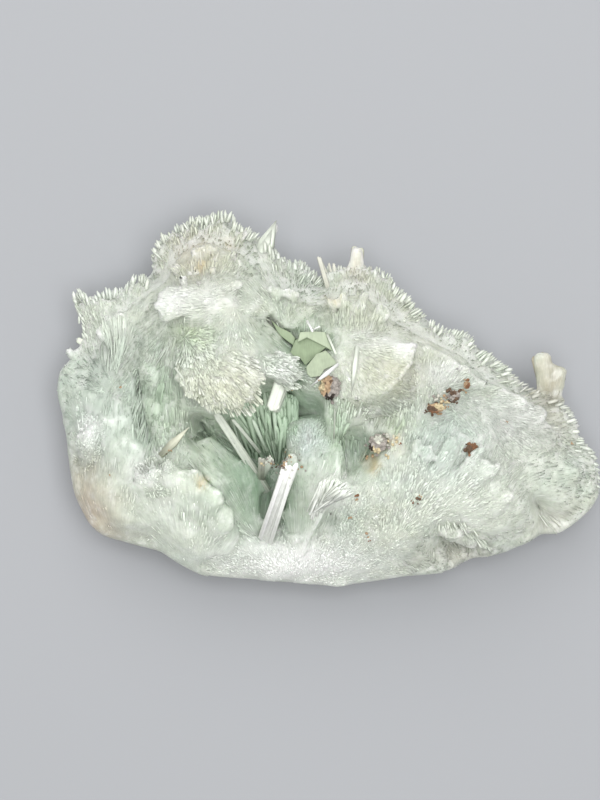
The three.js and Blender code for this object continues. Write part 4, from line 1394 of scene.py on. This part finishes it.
SPECKS: tuple[Speck, ...] = tuple(
    Speck(row[:2], row[2], Tone[row[3]])
    for row in (
        (8.79, -5.6, 0.22, "RUST"), (7.9, -5.5, 0.4, "SAND"), (8.4, -5.1, 0.3, "SAND"),
        (5.0, -7.7, 0.4, "TAN"), (4.6, -7.2, 0.22, "BROWN"), (7.1, -7.2, 0.35, "SAND"),
        (11.2, -12.9, 0.34, "BROWN"), (11.6, -12.5, 0.26, "TAN"), (10.6, -13.2, 0.22, "RUST"),
        (3.17, -12.4, 0.34, "RUST"), (3.3, -12.9, 0.24, "TAN"), (2.53, -15.6, 0.3, "TAN"),
        (4.7, -17.75, 0.3, "TAN"), (5.0, -18.2, 0.18, "RUST"), (22.7, -2.8, 0.17, "TAN"),
        (31.9, -5.75, 0.24, "TAN"), (-0.02, -14.7, 0.14, "BLACK"), (-4.87, 11.75, 0.15, "BLACK"),
        (-27.2, 1.66, 0.18, "TAN"), (-28.6, -9.7, 0.18, "TAN"), (-17.2, 16.5, 0.14, "BLACK"),
        (-20.6, -6.6, 0.2, "TAN"), (-21.1, -6.9, 0.14, "BROWN"), (-5.0, 1.4, 0.2, "SAND"),
        (-0.3, 0.15, 0.3, "BLACK"), (0.1, 0.3, 0.24, "BLACK"), (14.2, -0.2, 0.4, "SAND"),
        (14.7, 0.2, 0.35, "TAN"), (13.6, 0.2, 0.4, "GREY"), (13.2, 0.5, 0.28, "STONE"),
        (15.1, -0.5, 0.35, "SAND"), (14.6, -0.9, 0.3, "TAN"), (16.6, 1.2, 0.3, "BROWN"),
        (17.2, 1.1, 0.25, "TAN"), (12.1, -1.5, 0.25, "BROWN"), (13.0, -1.8, 0.28, "BROWN"),
    )
)

GRITTY_PATCH = ((-6.5, -7.8, 0), (2.2, 1.5), 90)  # middle and half sizes in mm, and number of crumbs


@dataclass
class OreSpecks:
    """The crumbs and specks of the brown mineral, on the surfaces that carry them."""

    carriers: tuple[bpy.types.Object, ...]

    ABOVE = 50.0  # clear of everything, mm
    SPECK_PARTS = 3
    CRUMB_RADII = (0.14, 0.32)  # mm
    CRUMB_PLACES = (0.8, 1.25)  # round a grain, against its half size
    GRIT_RADII = (0.09, 0.24)  # mm
    GRIT_TONES = (Tone.STONE, Tone.GREY, Tone.TAN, Tone.SAND, Tone.BROWN)

    def ground(self, places: np.ndarray) -> tuple[np.ndarray, np.ndarray]:
        """Finds the surface under places on the face.

        Args:
            places: x and y, mm.

        Returns:
            The highest points there, mm, and which places have one.
        """
        graph = bpy.context.evaluated_depsgraph_get()
        height = np.full(len(places), -1.0)
        for carrier in self.carriers:
            surface = BVHTree.FromObject(carrier, graph)
            for index, (x, y) in enumerate(places.tolist()):
                hit = surface.ray_cast(Vector((x, y, self.ABOVE)) * MM, Vector((0, 0, -1)))[0]
                if hit is not None:
                    height[index] = max(height[index], hit.z / MM)
        found = height >= 0
        return np.column_stack((places, height))[found], found

    def build(self, chance: np.random.Generator) -> bpy.types.Object:
        """Makes every crumb as one piece."""
        group = [speck for speck in SPECKS for _ in range(self.SPECK_PARTS)]
        stray = [chance.normal(size=2) * speck.radius * 0.6 for speck in group]
        places = [np.array(speck.at) + MIDDLE_SHIFT[:2] + off for speck, off in zip(group, stray)]
        radii = [speck.radius * chance.uniform(0.4, 0.8) for speck in group]
        tones = [speck.tone for speck in group]
        for grain in GRAINS:
            middle, half = grain.room(MM)
            for _ in range(grain.crumbs):
                turn = chance.uniform(0, 2 * math.pi)
                out = np.array((math.cos(turn), math.sin(turn))) * chance.uniform(*self.CRUMB_PLACES)
                places.append(middle[:2] + out * half[:2])
                radii.append(chance.uniform(*self.CRUMB_RADII))
                tones.append((grain.tone, *(patch.tone for patch in grain.patches))[chance.integers(2)])
        middle, half, count = GRITTY_PATCH
        for _ in range(count):
            places.append(packed(middle)[:2] + chance.normal(size=2) * np.array(half) * 0.5)
            radii.append(chance.uniform(*self.GRIT_RADII))
            tones.append(self.GRIT_TONES[chance.integers(5)])
        ground, found = self.ground(np.array(places))
        sizes = 2 * np.array(radii)[found]
        tint = np.array([tone.value for tone in tones])[found]
        ways = unit(chance.normal(size=ground.shape))
        feet = ground - ways * sizes[:, None] / 2 + np.array((0, 0, 0.2)) * sizes[:, None]
        crop = Crop(feet, ways, sizes, sizes, tint)
        return crop.plant("ore_specks", self.crumb(), 0.8, chance.normal(size=ground.shape))

    def crumb(self) -> Pattern:
        """Models one rough crumb of unit size, its foot at zero."""
        deselect()
        bpy.ops.mesh.primitive_ico_sphere_add(subdivisions=1, radius=0.5, location=(0, 0, 0.5))
        piece = bpy.context.active_object
        points = corners_of(piece.data)
        points = points * (1 + 0.35 * wobble(points, 4.0, 2.0))[:, None]
        piece.data.vertices.foreach_set("co", points.ravel())
        return pattern_of(piece)

    def dress(self, piece: bpy.types.Object) -> None:
        """Gives the crumbs their finish and their place in the frame."""
        piece.data.materials.append(OreFinish("speck grit").make())
        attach(piece, "root")


class Studio:
    """The floor, the lights and the camera."""

    DISTANCE = 0.33  # from the camera to the specimen's face, m
    FACE_HEIGHT = 0.008  # m
    PIXEL = 0.0001326  # width of a pixel on the face, m
    FRAME_HEIGHT = 800  # pixels
    AIM = (-0.00417, -0.00024)  # the picture's middle, m

    def floor(self) -> None:
        """Lays a plain pale floor under the specimen."""
        deselect()
        bpy.ops.mesh.primitive_plane_add(size=3.0, location=(0, 0, -0.0002))
        floor = bpy.context.active_object
        floor.name = "studio_floor"
        grey = (*linear(150, 152, 156), 1)
        floor.data.materials.append(Graph("pale floor", {"Base Color": grey, "Roughness": 0.7}).material)

    def lamp(self, name: str, place: Triple, size: float, power: float) -> None:
        """Hangs a soft square lamp that faces the specimen."""
        light = bpy.data.lights.new(name, "AREA")
        light.size = size
        light.energy = power
        lamp = bpy.data.objects.new(name, light)
        bpy.context.collection.objects.link(lamp)
        lamp.location = place
        lamp.rotation_euler = (-Vector(place)).to_track_quat("-Z", "Y").to_euler()

    def lights(self) -> None:
        """Sets a broad light above the picture's top edge, a fill from the front, and a dim room."""
        self.lamp("window", (-0.1, 0.36, 0.46), 0.5, 1.6)
        self.lamp("front_fill", (0.05, 0.0, 0.7), 0.4, 4.4)
        world = bpy.data.worlds.new("room")
        bpy.context.scene.world = world
        world.use_nodes = True
        background = world.node_tree.nodes["Background"]
        background.inputs["Color"].default_value = (1.0, 0.99, 0.96, 1)
        background.inputs["Strength"].default_value = 0.55
        bpy.context.scene.view_settings.view_transform = "Standard"

    def camera(self) -> None:
        """Looks straight down on the specimen, as the photograph faces its crystals."""
        camera = bpy.data.cameras.new("camera")
        camera.sensor_fit = "AUTO"
        camera.lens = camera.sensor_width * self.DISTANCE / (self.PIXEL * self.FRAME_HEIGHT)
        holder = bpy.data.objects.new("camera", camera)
        bpy.context.collection.objects.link(holder)
        holder.location = (*self.AIM, self.DISTANCE + self.FACE_HEIGHT)
        bpy.context.scene.camera = holder


GRAINS: tuple[OreGrain, ...] = tuple(
    OreGrain(node, slot, Tone[tone], tuple(Patch(row[:3], row[3], Tone[row[4]]) for row in patches), crumbs)
    for node, slot, tone, crumbs, *patches in (
        ("brown_nodule", "nodule", "STONE", 5, (-0.8, 0.3, 0.4, 0.7, "TAN"), (-0.1, 0.6, 0.8, 0.08, "BROWN"),
         (-0.9, 0.1, 0.3, 0.2, "SAND"), (0.0, -1.0, 0.2, 0.16, "BLACK")),
        ("grey_pebble", "pebble", "STONE", 12, (0.2, 0.6, 0.7, 0.15, "GREY"), (-0.4, -0.9, 0.3, 0.3, "SAND"),
         (-0.8, -0.4, 0.4, 0.1, "BLACK")),
        ("ore_grain_lower", "ore", "TAN", 8, (-0.8, -0.5, 0.5, 0.6, "BROWN"), (0.7, 0.5, 0.5, 0.4, "SAND"),
         (-0.2, -0.9, 0.3, 0.2, "RUST")),
        ("ore_grain_middle", "ore", "STONE", 8, (-0.3, 0.7, 0.6, 0.3, "BROWN"),
         (0.5, -0.8, 0.4, 0.3, "BROWN")),
        ("ore_grain_upper", "ore", "TAN", 2, (0.5, -0.5, 0.7, 0.5, "RUST")),
        ("rust_grain", "rust", "RUST", 5, (-0.7, 0.1, 0.6, 0.3, "BROWN"), (0.5, -0.7, 0.5, 0.3, "BROWN")),
    )
)


def main() -> None:
    """Builds the studio and every piece, and reports each one."""
    logging.basicConfig(level=logging.INFO, format="%(message)s")
    chance = np.random.default_rng(SEED)
    studio = Studio()
    studio.camera()
    studio.lights()
    studio.floor()
    growths = Growths()
    mass = CrystalMass(growths)
    body = mass.build()
    mass.dress(body)
    LOG.info("crystal_mass: %d faces", len(body.data.polygons))
    fibre = FIBRE_FINISH.make(streaked=False)
    coat = FibreCoat(growths, body).build(chance)
    free = Combs().build(chance)
    for piece in (*coat, *free):
        piece.data.materials.append(fibre)
    blades = ClearBlades().build(chance)
    clear = BLADE_FINISH.make(streaked=True)
    for piece in blades:
        piece.data.materials.append(clear)
    facets = join_facets()
    facets.data.materials.append(clear)
    for piece in (*coat, *free, *blades, facets):
        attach(piece, "root")
        LOG.info("%s: %d faces", piece.name, len(piece.data.polygons))
    specks = OreSpecks((body, *blades, facets))
    crumbs = specks.build(chance)
    specks.dress(crumbs)
    LOG.info("%s: %d faces", crumbs.name, len(crumbs.data.polygons))
    for number, grain in enumerate(GRAINS):
        piece = grain.build(number)
        grain.dress(piece)
        LOG.info("%s: %d faces", piece.name, len(piece.data.polygons))


if __name__ == "__main__":
    main()
